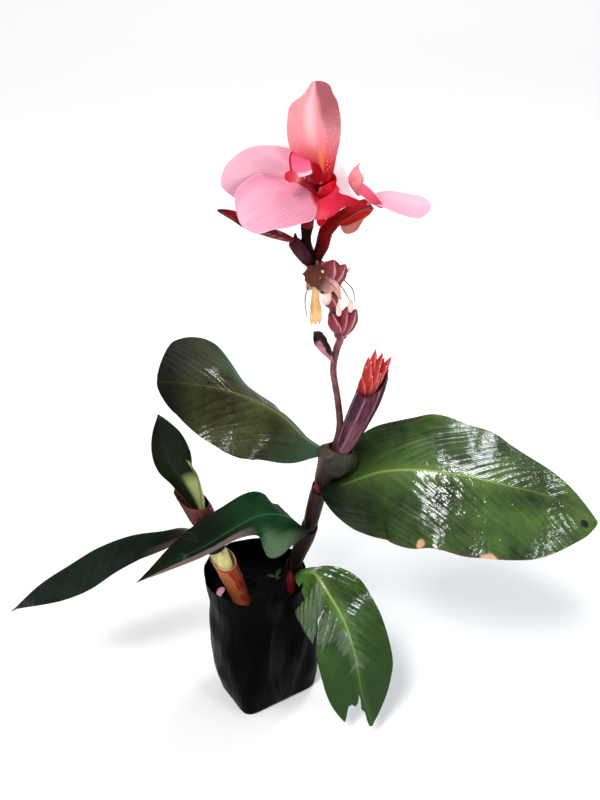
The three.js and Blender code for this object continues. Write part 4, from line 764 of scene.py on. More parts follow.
TORN_SIDE = [[0, 0], [-8.1, -15.3], [-10, -27.7], [-13.8, -43], [-22, -54.4], [-9.5, -54.4],
             [-8.6, -31.5], [-6.7, -16.2]]
LOWER_RIGHT_TEARS = [([105.5, -92, 17], TORN_TIP), ([59, -58, 140], TORN_SIDE)]
LOWER_LEFT_LEAF = {
    "spine": [[39, 1, 186], [27, -5, 203], [12, -14, 216], [-6, -22, 219.5], [-26, -29, 212],
              [-55.3, -36, 195.4], [-88.5, -42, 179.9], [-121.7, -46, 159]],
    "face": [[-0.6, -0.2, 0.8], [-0.3, -0.2, 0.9], [-0.1, -0.3, 0.95], [-0.1, -0.4, 0.9], [-0.1, -0.4, 0.9]],
    "width_left": [4, 24, 42, 38, 26, 20, 18, 14, 8, 0], "width_right": [8, 29, 28, 26, 24, 24, 23, 18, 9, 0],
    "fold_left": [-20, -60, -75, -80, -85, -80, -60], "fold_right": [10, 5, 12, 36, 42, 40, 30],
    "curl": [0, -5, -10, -10], "wave": 1.4, "waves": 3, "rib": [1.8, 1.6, 1.2, 0.8, 0.2],
}
FAR_LEFT_LEAF = {
    "spine": [[-56, -10.5, 184], [-80, -3, 189.5], [-101.3, -8, 190.8], [-129.4, -14, 190.1],
              [-160.1, -20, 180.3], [-188, -25, 163.6], [-219.8, -28, 141], [-250.5, -30, 109.7]],
    "face": [[0, 0, 1], [0, -0.1, 1], [0, -0.1, 1], [0, -0.1, 1]],
    "width": [4, 9, 15, 24, 30, 31, 28, 20, 0], "fold_left": [-40, -50, -55, -55, -50],
    "fold_right": [-30, -40, -45, -45, -40], "curl": [-10, -15, -15, -10],
    "wave": 2.4, "waves": 1.9, "rib": [1.6, 1.2, 0.8, 0.2],
}
YOUNG_LEAF = {
    "spine": [[-58.5, -7, 203], [-69, -1, 226], [-79.8, 3, 245.9], [-88.5, 5, 261.6], [-93.1, 6, 278.8],
              [-95.5, 6, 297.5], [-96, 5, 315.3]],
    "face": [[0.3, -1, 0], [0.1, -1, 0], [0.1, -1, 0], [0.3, -1, 0]],
    "width_left": [5, 9, 11, 14, 13, 8, 0], "width_right": [9, 28, 38, 36, 32, 20, 0],
    "fold_left": [20, 10, 10, 10], "fold_right": [0, 0, 0, 0],
    "curl_left": [110, 60, 40, 30, 30], "curl_right": [170, 110, 85, 60, 30],
    "rib": [0.6, 0.4, 0.1], "tip": 0.04,
}
torn_blade = blade(LOWER_RIGHT_LEAF, 190, 100, vein_depth=0.26, tears=LOWER_RIGHT_TEARS, seed=11)
make("lower_right_leaf", [torn_blade, collar(STEM, 119, 142, [7.4, 8.6, 8.6, 8])],
     [torn_leaf, under_leaf, leaf_sheath], ["leaf_lower_right"])
make("lower_left_leaf", [blade(LOWER_LEFT_LEAF, seed=12), collar(STEM, 145, 192, [7, 8, 8.4, 8])],
     [dark_leaf, under_leaf, leaf_sheath], ["leaf_lower_left"])
make("right_leaf", [blade(RIGHT_LEAF, 180, 90, vein_depth=0.3, seed=13),
                    collar(STEM, 191, 240, [6.9, 7.6, 7.8, 7.4])],
     [wide_leaf, under_leaf, leaf_sheath], ["leaf_right"])
make("upper_left_leaf", [blade(UPPER_LEFT_LEAF, 170, 90, seed=14), painted(wrap(**UPPER_SHEATH), 2, 2)],
     [bronze_leaf, under_leaf, sack_sheath], ["leaf_upper_left"])
make("far_left_leaf", [blade(FAR_LEFT_LEAF, seed=15), collar(SHOOT, 174, 188, [9.4, 9.6, 9.2, 8])],
     [black_leaf, under_leaf, leaf_sheath], ["leaf_far_left"])
make("young_leaf", [blade(YOUNG_LEAF, 110, 90, vein_depth=0.12, seed=16)], [inner_leaf, fresh_under],
     ["leaf_young"])

# ---------------------------------------------------------------- sheaths of the side shoot
# Two leaf bases that wrap the young culm: the lower one is orange-brown with a red rim, the upper one
# maroon. They are thin, ribbed along their length, and open on one side at the mouth.

# Thin waxy tissue with little green in it: orange-brown with a red edge where it overlaps, and plum above.
lower_sheath_skin = stem_skin("orange_sheath_skin", "a05030", "a8643a", "8a4a2c", 5, 60, 0.4, 0.2,
                              rim=("9c1c1c", 0.94), side=("6c2a18", 0.8, 1, 0.95, 1.25),
                              ridge=("8a1814", -0.1, 1, 1.2, 1.25))
upper_sheath_skin = stem_skin("plum_sheath_skin", "3c1a1a", "5e342c", "2c1412", 5, 40, 0.42, 0.12,
                              rim=("6c2626", 0.955))
# Linings are duller: straw-coloured in the lower one, dark in the upper one.
dark_lining = stem_skin("dark_sheath_lining", "3a1a18", "5c302a", "20100e", 5, 40, 0.5)
sheath_lining = stem_skin("pale_sheath_lining", "b5a870", "c9a06a", "9a8a55", 5, 60, 0.5)
LOWER_SHOOT_SHEATH = {
    "path": [[-21, -21, 106], [-26.5, -20, 124], [-32, -19, 142], [-38, -18, 158], [-43.5, -16.5, 173]],
    "radius": [7.8, 8.8, 9.8, 10.8, 12], "low": 0.72, "facing": (0.6, -0.8, 0.2),
}
UPPER_SHOOT_SHEATH = {
    "path": [[-50, -12.5, 188.5], [-54.5, -9.5, 199], [-60, -7, 210], [-67.5, -4.5, 224], [-77, -2, 240]],
    "radius": [8.6, 10.8, 12.6, 12.4, 11], "low": 0.62, "facing": (0.9, -0.45, 0.2),
}
make("lower_shoot_sheath", [wrap(**LOWER_SHOOT_SHEATH)], [lower_sheath_skin, sheath_lining],
     ["shoot_lower_sheath"])
make("upper_shoot_sheath", [wrap(**UPPER_SHOOT_SHEATH)], [upper_sheath_skin, dark_lining],
     ["shoot_upper_sheath"])

# ---------------------------------------------------------------- buds on the culms
# Dormant side buds in tight scales, red and a little waxy: a pointed one with three ridges at the soil, and
# a small round one where the right leaf joins.
red_bud_skin = stem_skin("red_bud_skin", "5a1020", "781828", "3c0a16", 0, 20, 0.35)
make("basal_shoot_bud", [tube([[27.5, -9.5, 108], [24, -12, 146]], [1.6, 4.6, 4.6, 0], sides=24, rows=30,
                              ridges=3, ridge=0.06)], [red_bud_skin], ["basal_bud"])
make("node_bud", [tube([[52.5, -3.5, 236], [48, -7.5, 245.5]], [1, 2.8, 2.8, 0], sides=20, rows=24)],
     [red_bud_skin], ["stem_bud"])

# ---------------------------------------------------------------- the next flower head
# A purple sheathing bract, streaked along its ribs, with the tips of its coral buds standing out, and the
# open bract at the stalk's first node, a small scoop with a dark rim.

# Leathery bract skin, dusky purple with paler ribs and a dark rim; painted shade darkens the side that turns
# from the sun. Its lining is pinker and dull.
spathe_skin = stem_skin("purple_bract_skin", "86585e", "5c2a3c", "28101e", 10, 60, 0.4, 0.16,
                        rim=("3a1420", 0.975), side=("2a1424", 5.9, 1, 0.95, 1.25),
                        ridge=("8c6076", 0.5, 7, 1.05, 1.3))
spathe_lining = stem_skin("bract_lining", "7a4c56", "9a5c64", "4c2a34", 10, 90, 0.5)
# Firm bud skin, coral with a lighter ridge on each of its three sides and a tan tip.
coral_bud_skin = stem_skin("coral_bud_skin", "7c101a", "c43a3a", "7c1418", 12, 46, 0.4, 0.12,
                           rim=("cfae8c", 0.955), ridge=("f07c72", 0.0, 3, 0.6, 1.3))
SPATHE = {
    "path": [[68.3, -3, 271], [72.1, -4, 281], [79.6, -9, 302], [87.2, -11, 323], [94.4, -12, 343],
             [99, -12.5, 360], [102, -13, 376]],
    "radius": [4, 6.5, 10, 11.8, 12.6, 12.4, 10.2], "low": 0.69, "facing": (-0.85, -0.6, 0.1), "flat": 0.85,
}
make("sheathing_bract", [wrap(**SPATHE, rows=90, sides=84)], [spathe_skin, spathe_lining], ["flower_bract"])
BUD_FOOT = np.array([92, -11.5, 336])
BUD_TIPS = [[99.6, -11, 390.7], [105.7, -12, 387.8], [113.4, -12, 383.9], [91.3, -15, 375.8],
            [95.4, -17, 381.2], [103.2, -18, 377.8], [109.5, -15, 376.2], [87.8, -16, 366], [97, -19, 368],
            [104.5, -18, 370], [94, -5, 380], [108, -5, 379]]
bud_parts = [tube([BUD_FOOT, BUD_FOOT * 0.45 + np.array(end) * 0.55, end], [1.5, 4.2, 3.9, 0.3],
                  sides=18, rows=30, ridges=3, ridge=0.08) for end in BUD_TIPS]
core = tube([[88, -11, 326], [93.5, -11, 344]], [0, 5, 4.6, 0], sides=24, rows=20)
make("coral_buds", [core, *bud_parts], [coral_bud_skin], ["side_buds"])

# Thin bract tissue: mauve with a near black margin, darker and duller behind.
scoop_skin = leaf_skin("mauve_scoop_skin", "8a5060", "d898a4", "b07886", "1c0a0e", 1.0, 0.1, 0, (0.4, 0.55),
                       head=("240e16", 0.7, 0.82), patches_and_sheen=[("200c12", 0.3, 0.45, -0.2, -0.1)])
scoop_back = leaf_skin("dark_scoop_back", "1c0c12", "3c1c26", "4c2430", "1c0a10", 1.0, 0.1, 0, (0.4, 0.55))
hood_skin = stem_skin("dark_hood_rim", "1e0a10", "1a080c", "341822", 0, 10, 0.4)
STALK_BRACT = {
    "spine": [[63.4, -2.6, 374.5], [59, -5, 386], [54.5, -5.5, 395], [47, -6, 403]],
    "face": [[-0.8, -0.8, 0.1], [-0.6, -0.9, 0], [-0.5, -0.9, -0.2]],
    "width": [3, 7, 8.5, 7], "fold": [15, 15], "curl": [25, 40], "tip": 0.3,
}
HOOD = [[60.5, -6, 381], [57.6, -7, 390], [53.5, -7, 398.5], [49, -8, 403], [45.5, -7, 402.5]]
scoop = blade(STALK_BRACT, 50, 32, vein_pitch=2.5, vein_depth=0.08)
hood = tube(HOOD, [1, 2.2, 3, 3, 1.4], sides=14, rows=24, flat=0.6, rough=0.5, grain=4)
make("stalk_bract_scoop", [scoop, painted(hood, 2, 2)], [scoop_skin, scoop_back, hood_skin],
     ["stalk_bract"])

# ---------------------------------------------------------------- pods and spent flowers
# Below the blooms the stalk carries young three-sided pods and buds in two tight clusters, dusty rose and
# warty, and the dried remains of the last flower: a brown wrap, a tan petal and thin threads.

# Matt warty skin, dusty rose, and paler along its three ridges, a painted highlight.
pod_skin = stem_skin("dusty_rose_pod_skin", "964e5a", "8c343e", "4a121c", 2, 14, 0.45, 0.14,
                     ridge=("e0a0a4", 0.0, 3, 0.95, 1.3))
# What is left on a pod's tip of its flower: a soft blush stub, tan where it has dried.
stub_skin = stem_skin("spent_flower_stub", "f0dcdc", "f0c490", "dca888", 9, 12, 0.6)
# Each cluster has its pods and its stubs, from foot to tip and how fat, and a ring round the stalk between
# two shares of the stem's length.
POD_CLUSTERS = {
    "pods_below_the_blooms": {
        "pods": [([58, -3, 452], [62, -7, 471], 7.4), ([61, -3, 448], [72, -7, 467], 5.8),
                 ([57, -2, 446], [74, -3, 460], 5.4), ([54, -3, 455], [36, -6, 458], 4),
                 ([58, -3, 450], [49, 6, 466], 5.8), ([62, 0, 440], [68, 8, 458], 5.6),
                 ([64, -1, 424], [56.5, -10, 444], 6)],
        "stubs": [([54.5, -13, 433.6], [58.4, -13, 445.6], 4.2), ([74, -3, 459], [77, -4, 464], 1.4)],
        "between": (0.845, 0.93), "ring": [5, 6, 5], "node": "seed_pods_upper",
    },
    "pods_lower_on_the_stalk": {
        "pods": [([71, -2, 398], [82, -6, 426], 6), ([69, -3, 400], [74, -9, 428], 4.6),
                 ([67, -3, 401], [61, -8, 423], 5.2), ([67, -2, 402], [66, -10, 416], 4.8),
                 ([70, 2, 400], [75, 8, 422], 4.8), ([68, 2, 402], [60, 6, 420], 4.6)],
        "stubs": [([76.5, -7, 423], [77, -8, 435.6], 2.4), ([67.1, -10, 421], [66, -11, 434], 2.3)],
        "between": (0.69, 0.75), "ring": [4.8, 6, 5.4], "node": "seed_pods_lower",
    },
}
for name, cluster in POD_CLUSTERS.items():
    pods = [tube([start, end], [fat * 0.35, fat, fat, 0.4], sides=24, rows=34, ridges=3, ridge=0.08,
                 rough=0.3, grain=2.2, seed=i) for i, (start, end, fat) in enumerate(cluster["pods"])]
    stubs = [tube([start, end], [fat, fat, fat * 0.5], sides=12, rows=12, cap=0.2, rough=0.3, grain=2)
             for start, end, fat in cluster["stubs"]]
    joint = tube(curve(STEM, np.linspace(*cluster["between"], 3)), cluster["ring"], sides=24, rows=20,
                 cap=0.2, rough=0.2)
    make(name, [joint, *pods, *[painted(stub, 1, 1) for stub in stubs]], [pod_skin, stub_skin],
         [cluster["node"]])

# Dead tissue, papery and matt: brown going pink where it dried last, pale tan, and black-green threads.
brown_wrap = leaf_skin("dry_brown_skin", "2a120e", "663a30", "5a3026", "c89a84", 1.0, 0.1, 0, (0.6, 0.8),
                       head=("e4aea4", 0.3, 0.6),
                       spots=[(7, -4, 2.2, "e8d4b8"), (11, 3, 2.0, "d8b890"), (16, -5, 2.0, "e8d4b8"),
                              (22, 2, 1.8, "e0c4a0")])
tan_petal = leaf_skin("dry_tan_skin", "cc9258", "fcdcaa", "ecc490", "5a3a20", 0.8, 0.1, 0, (0.6, 0.8),
                      head=("7a4c2c", 0.88, 0.97))
whisker_skin = stem_skin("dry_whisker_skin", "2a2a20", "4a4636", "1a1812", 5, 20, 0.6)
WITHERED_WRAP = {
    "spine": [[45, -11, 464], [54, -14, 457], [64, -14, 448], [68.5, -11, 436]],
    "face": [[-0.2, -1, 0.4], [-0.2, -1, 0.2], [0.2, -1, 0.2]],
    "width_left": [5, 9, 8, 5, 1.5], "width_right": [6, 9, 8, 5, 1.5], "fold_left": [-20, -30, -20],
    "fold_right": [-15, -25, -20], "curl": [-50, -60], "wave": 1.5, "tip": 0.1,
}
CRUMPLES = [([[38, -8, 461], [46, -12, 457], [56, -13, 450], [62, -12, 446]], [2.5, 6.5, 6, 3]),
            ([[41, -7, 466], [44, -10, 459], [43, -9, 450], [40, -8, 444]], [3, 6, 4.5, 1.2])]
WITHERED_PETAL = {
    "spine": [[50, -13.5, 459], [46.5, -12, 444], [46.7, -10.5, 430], [47.2, -9.5, 418], [47.2, -9, 411]],
    "face": [[-0.3, -1, 0], [-0.2, -1, 0], [0.1, -1, 0.1]],
    "width_left": [2, 4, 5, 5.5, 5.2], "width_right": [2, 3, 4, 5, 4.6], "fold_left": [20, -10, 20],
    "fold_right": [-20, -30, -10], "curl": [20, 30], "wave": 2.2, "waves": 2.5, "tip": 0.05,
}
RAGGED_END = [[-9, -6], [-9, 2], [-4.6, 4], [-3.4, 1], [-1.6, 3.2], [0, 0.8], [1.8, 4.6], [3.4, 1.6],
              [5, 5.4], [9, 2], [9, -6]]
THREADS = [[[43, -9, 458], [40.7, -10, 447.8], [38.2, -11, 436.4], [40, -9, 418.8]],
           [[68, -7, 455], [71.8, -4, 450.7], [78.7, -5, 442.9], [80.1, -6, 433.3]],
           [[66, -8, 450], [70.2, -6, 444.3], [76.3, -7, 433.7]]]
crumples = [tube(path, radius, sides=30, rows=40, flat=0.6, rough=1.1, grain=5, cap=0.1, seed=i)
            for i, (path, radius) in enumerate(CRUMPLES)]
make("brown_wrap", [blade(WITHERED_WRAP, 60, 36, vein_pitch=3.4, vein_depth=0.5), *crumples],
     [brown_wrap, brown_wrap], ["withered_wrap"])
threads = [painted(tube(path, [0.6, 0.5, 0.45, 0.3], sides=6, rows=16), 2, 2) for path in THREADS]
dried = blade(WITHERED_PETAL, 80, 36, vein_pitch=2.6, vein_depth=0.35, tears=[([47.2, -9, 411], RAGGED_END)])
make("tan_petal", [dried, *threads], [tan_petal, tan_petal, whisker_skin], ["withered_petal"])

# ---------------------------------------------------------------- ovaries and throats
# Each flower stands on a warty dark ovary; the tube above it widens to the throat, crimson inside. The left
# flower never opened: only its ovary, with a nub on top, and one sepal are there.

# Warty skin, dull: plum on the left one, near black on the front one and crimson on the back one.
ovary_skin = stem_skin("warty_ovary_skin", "34101a", "481c26", "5a3440", 0, 30, 0.5, 0.06)
dark_stalk = stem_skin("near_black_ovary_skin", "0c0304", "1a0506", "080202", 0, 30, 0.5, 0.04)
crimson_stalk = stem_skin("crimson_ovary_skin", "300406", "8a0a0c", "240404", 4, 26, 0.5, 0.05)
OVARIES = {
    "front_ovary": ([[45.7, 0, 464.3], [42.3, -1, 473.6], [39.8, -2, 482.8], [39.2, -2.5, 490],
                     [39.9, -3.9, 501]], [4, 4, 3.8, 4, 5.6], dark_stalk, "ovary_front"),
    "back_ovary": ([[47, 1, 464.8], [49, 2, 471.1], [52.3, 3, 479.1], [53.9, 4, 485.3], [55.9, 6, 491.6],
                    [62.5, 8.9, 499]], [4, 4.6, 5.6, 5.6, 5.8, 6], crimson_stalk, "ovary_back"),
    "left_ovary": ([[43.2, 0, 463.4], [35.7, -1.5, 476.5], [27.8, -4, 486.2]], [3.8, 6.4, 6.6, 4.6],
                   ovary_skin, "ovary_left"),
}
nub = tube([[33, -1, 480], [30.5, -1.5, 487], [29.9, -2, 492.4]], [2.4, 2.6, 1.8, 0.6], sides=16, rows=20,
           rough=0.3, grain=1.8)
for name, (path, radius, skin, node) in OVARIES.items():
    stalk = tube(path, radius, sides=40, rows=60, rough=0.3, grain=2.2, cap=0.05)
    make(name, [stalk, nub] if name == "left_ovary" else [stalk], [skin], [node])

# Smooth satin tissue, crimson outside and scarlet in the funnel, with hardly any gloss.
throat_skin = stem_skin("crimson_throat_skin", "78080e", "b4101a", "60050a", 5, 34, 0.4, 0.08)
throat_lining = stem_skin("dark_throat_lining", "7c0002", "e4040c", "b80208", 2, 13, 0.5, 0.02)
funnel_skin = stem_skin("scarlet_funnel_skin", "b00414", "dc1020", "c00816", 2, 18, 0.5, 0.03,
                        rim=("9c0410", 0.93))
FUNNEL = {
    "path": [[47.6, -7, 524], [49.4, -7.4, 530], [50.4, -9, 535.5], [50.2, -12, 540]],
    "radius": [5, 8.4, 11.6, 13], "low": 0.66, "facing": (-0.25, -1, 0.2),
}
FRONT_NECK = [[39.6, -3.7, 498], [41.3, -5, 508], [44.5, -6, 515.9], [48, -7, 527]]
BACK_NECK = [[59, 7.5, 496.4], [67.9, 11, 501.5], [75.4, 13.5, 505.8], [82.8, 15, 510], [89.5, 15, 512.4]]
front_neck = tube(FRONT_NECK, [5.4, 4.8, 5, 6.5], cap=0.05)
make("front_throat", [front_neck, painted(wrap(**FUNNEL, sides=96), 1, 2)],
     [throat_skin, throat_lining, funnel_skin], ["flower_front_throat"])
make("back_throat", [tube(BACK_NECK, [5.9, 5.2, 4.6, 4, 3.6], cap=0.05)], [throat_skin],
     ["flower_back_throat"])

# ---------------------------------------------------------------- petals
# The showy parts are staminodes: thin satin blades, pink and faintly veined along their length, crimson
# where they join the throat. One is rolled back over the throat, and one stamen curls beside it.


def petal_skin(name, stops, painted_shade=None, stripes=(), border=None, gloss=0.45, drops=None, satin=0.12,
               painted_glow=0.0):
    """Petal skin: colours along the petal from the throat to the rim, clouded every 17 mm, with streaks
    0.7 mm wide and 17 mm long. It may have a darker part beyond a share of its half width, painted shade
    that leans and grows with the length, stripes that fade between two shares of it, a border of another
    colour, where a paler one is painted light coming through the thin rim, and 2 mm beads of water where
    the half width and the length run between two values each, lightened as painted highlights. `satin` is
    the strength of its sheen past the red foot, and the glow strength that of an emission in the petal's
    own colour: painted light that stands for daylight coming through it."""
    material = new_material(name)
    place = add(material, "TexCoord")["Object"]
    share, half, across, along = [add(material, "Attribute", attribute_name=key)["Fac"]
                                  for key in ("share", "half", "across", "along")]
    cloud = add(material, "TexNoise", {"Vector": place, "Scale": scale_for(16.667), "Detail": 4.0})["Fac"]
    blurred = add(material, "Math", {0: cloud, 1: 0.14, 2: share}, operation="MULTIPLY_ADD")[0]
    ground = add(material, "ValToRGB", {"Fac": blurred}, ramp=stops)["Color"]
    grain = add(material, "CombineXYZ", {"X": across, "Y": along})[0]
    fine = add(material, "Mapping", {"Vector": grain, "Scale": (1.5, 0.06, 1.0)})["Vector"]
    streaks = add(material, "TexNoise", {"Vector": fine, "Scale": 1.0, "Detail": 3.0})["Fac"]
    amount = add(material, "MapRange", {"Value": streaks, "From Min": 0.4, "From Max": 0.75,
                                        "To Max": 0.3})[0]
    ground = add(material, "Mix", {0: amount, 6: ground, 7: linear(stops[1][1])}, data_type="RGBA")[2]
    wander = add(material, "Math", {0: cloud, 1: 0.3, 2: half}, operation="MULTIPLY_ADD")[0]
    # Painted shade: darker beyond a share of the half width, where the petal turns from the sun.
    if painted_shade:
        colour, low, high, strength, start, lean = painted_shade
        leant = add(material, "Math", {0: share, 1: lean, 2: wander}, operation="MULTIPLY_ADD")[0]
        reach = add(material, "MapRange", {"Value": leant, "From Min": low + lean + 0.15,
                                           "From Max": high + lean + 0.15, "To Max": strength})[0]
        grown = add(material, "MapRange", {"Value": share, "From Min": start, "From Max": start + 0.3,
                                           "To Min": 0.15})[0]
        reach = add(material, "Math", {0: reach, 1: grown}, operation="MULTIPLY")[0]
        ground = add(material, "Mix", {0: reach, 6: ground, 7: linear(colour)}, data_type="RGBA")[2]
    for colour, centre, wide, start, end in stripes:
        offset = add(material, "Math", {0: half, 1: centre}, operation="SUBTRACT")[0]
        offset = add(material, "Math", {0: offset}, operation="ABSOLUTE")[0]
        on = add(material, "MapRange", {"Value": offset, "From Min": wide * 0.2, "From Max": wide,
                                        "To Min": 0.8, "To Max": 0.0})[0]
        lasting = add(material, "MapRange", {"Value": share, "From Min": start, "From Max": end})[0]
        on = add(material, "Math", {0: on, 1: lasting}, operation="MULTIPLY")[0]
        ground = add(material, "Mix", {0: on, 6: ground, 7: linear(colour)}, data_type="RGBA")[2]
    # A paler border is painted light coming through the thin rim.
    if border:
        colour, start = border
        edge = add(material, "Attribute", attribute_name="edge")["Fac"]
        ragged = add(material, "Math", {0: cloud, 1: 0.1, 2: edge}, operation="MULTIPLY_ADD")[0]
        outer = add(material, "MapRange", {"Value": ragged, "From Min": start + 0.05,
                                           "From Max": start + 0.12})[0]
        ground = add(material, "Mix", {0: outer, 6: ground, 7: linear(colour)}, data_type="RGBA")[2]
    relief = add(material, "Math", {0: streaks, 1: cloud}, operation="ADD")[0]
    bump = add(material, "Bump", {"Height": relief, "Strength": 0.3, "Distance": 0.0008})["Normal"]
    if drops:
        cell = add(material, "TexVoronoi", {"Vector": place, "Scale": scale_for(1.923)})["Distance"]
        bead = add(material, "MapRange", {"Value": cell, "From Min": 0.1, "From Max": 0.4, "To Min": 1.0,
                                          "To Max": 0.0}, interpolation_type="SMOOTHSTEP")[0]
        where = add(material, "MapRange", {"Value": wander, "From Min": drops[0], "From Max": drops[1]})[0]
        inner = add(material, "MapRange", {"Value": share, "From Min": drops[2], "From Max": drops[3]})[0]
        past_foot = add(material, "MapRange", {"Value": share, "From Min": 0.14, "From Max": 0.26})[0]
        for limit in (where, inner, past_foot):
            bead = add(material, "Math", {0: bead, 1: limit}, operation="MULTIPLY")[0]
        # Painted highlight: each bead is lightened towards near white.
        bead_highlight = add(material, "Math", {0: bead, 1: 0.3}, operation="MULTIPLY")[0]
        ground = add(material, "Mix", {0: bead_highlight, 6: ground, 7: linear("fff4f6")}, data_type="RGBA")[2]
        bump = add(material, "Bump", {"Height": bead, "Strength": 0.5, "Distance": 0.0007,
                                      "Normal": bump})["Normal"]
        gloss = add(material, "Math", {0: bead, 1: -0.36, 2: gloss}, operation="MULTIPLY_ADD",
                    use_clamp=True)[0]
    sheen = add(material, "MapRange", {"Value": share, "From Min": 0.12, "From Max": 0.5, "To Max": satin})[0]
    shine = add(material, "Math", {0: sheen, 1: 2.5, 2: 0.06}, operation="MULTIPLY_ADD")[0]
    # The emission is painted light: the petal glows in its own colour, standing for daylight coming through
    # it.
    face = add(material, "BsdfPrincipled", {"Base Color": ground, "Roughness": gloss, "Normal": bump,
                                            "Subsurface Weight": 0.12, "Subsurface Scale": 1.0,
                                            "Subsurface Radius": (0.004, 0.002, 0.002),
                                            "Sheen Weight": sheen, "Emission Color": ground,
                                            "Emission Strength": painted_glow, "Specular IOR Level": shine})[0]
    add(material, "OutputMaterial", {"Surface": face})
    return material


# Thin satin tissue that lets some light through. The front flower is pink past a crimson foot, and salmon
# with an orange flame on the petal that stands up. Its paler rims are painted light coming through the thin
# edge, and the darker part of the near and the upright petal is painted shade where they turn from the sun.
near_skin = petal_skin(
    "pink_petal_near",
    [(0.08, "8c0008"), (0.12, "c41c3c"), (0.17, "e88ca6"), (0.5, "ea96b0"), (0.95, "f0b0c4")],
    painted_shade=("d87c9c", 0.6, 0.9, 0.7, 0.0, 0.0), border=("f8ccd8", 0.96), drops=(0.2, -0.3, 0.75, 0.35))
left_skin = petal_skin(
    "pink_petal_left", [(0.05, "b0304c"), (0.25, "dc8ca2"), (0.6, "e6a2b4"), (0.95, "e0a4b4")],
    border=("f8d4de", 0.96))
top_skin = petal_skin(
    "salmon_petal_top",
    [(0.2, "b40008"), (0.3, "cc0c18"), (0.42, "e4606a"), (0.6, "f09098"), (0.98, "f29ca2")],
    painted_shade=("a04a54", -0.1, 0.12, 0.95, 0.4, 0.7), drops=(0.3, 0.6, 0.75, 0.45),
    stripes=[("fcbcc2", -0.2, 0.3, 0.35, 0.6), ("ee7a44", 0.1, 0.22, 0.43, 0.35)])
low_skin = petal_skin(
    "scarlet_petal_low", [(0.05, "e01020"), (0.35, "f83050"), (0.6, "d01c38"), (0.95, "8c0410")],
    stripes=[("fa8084", 0.8, 0.4, 0.5, 0.3)], satin=0.02)
rolled_skin = petal_skin(
    "rose_petal_rolled",
    [(0.3, "a00006"), (0.5, "d81c40"), (0.72, "ec5078"), (0.97, "f47092"), (1.0, "ffc0d0")],
    border=("a00c28", 0.78), satin=0.04)
stamen_skin = petal_skin(
    "crimson_stamen_skin",
    [(0.1, "740208"), (0.5, "980410"), (0.66, "f27a7c"), (0.8, "e04858"), (0.9, "cc1c3c")], satin=0.04)
# The back flower is a lighter pink, terracotta underneath, with rims painted paler in the same way. Its
# palest petal glows: painted light, an emission in its own colour that stands for daylight coming through it.
right_skin = petal_skin(
    "pink_petal_right", [(0.03, "d85068"), (0.25, "ec92a8"), (0.95, "f2a4b8")], border=("fccada", 0.95))
pale_skin = petal_skin(
    "blush_petal_pale", [(0.03, "e06a7c"), (0.25, "fbdce6"), (0.95, "fff2f6")], painted_glow=0.32)
low_back_skin = petal_skin("terracotta_petal_low", [(0.05, "b04038"), (0.5, "c65c54"), (0.95, "cc7a72")])
strip_skin = petal_skin(
    "coral_strip", [(0.05, "e86878"), (0.5, "f06078"), (0.95, "c02c40")], border=("f8c4cc", 0.9), satin=0.05)
rolled_bud_skin = stem_skin("salmon_roll_skin", "c82840", "f2969c", "e06c76", 2, 12, 0.45)

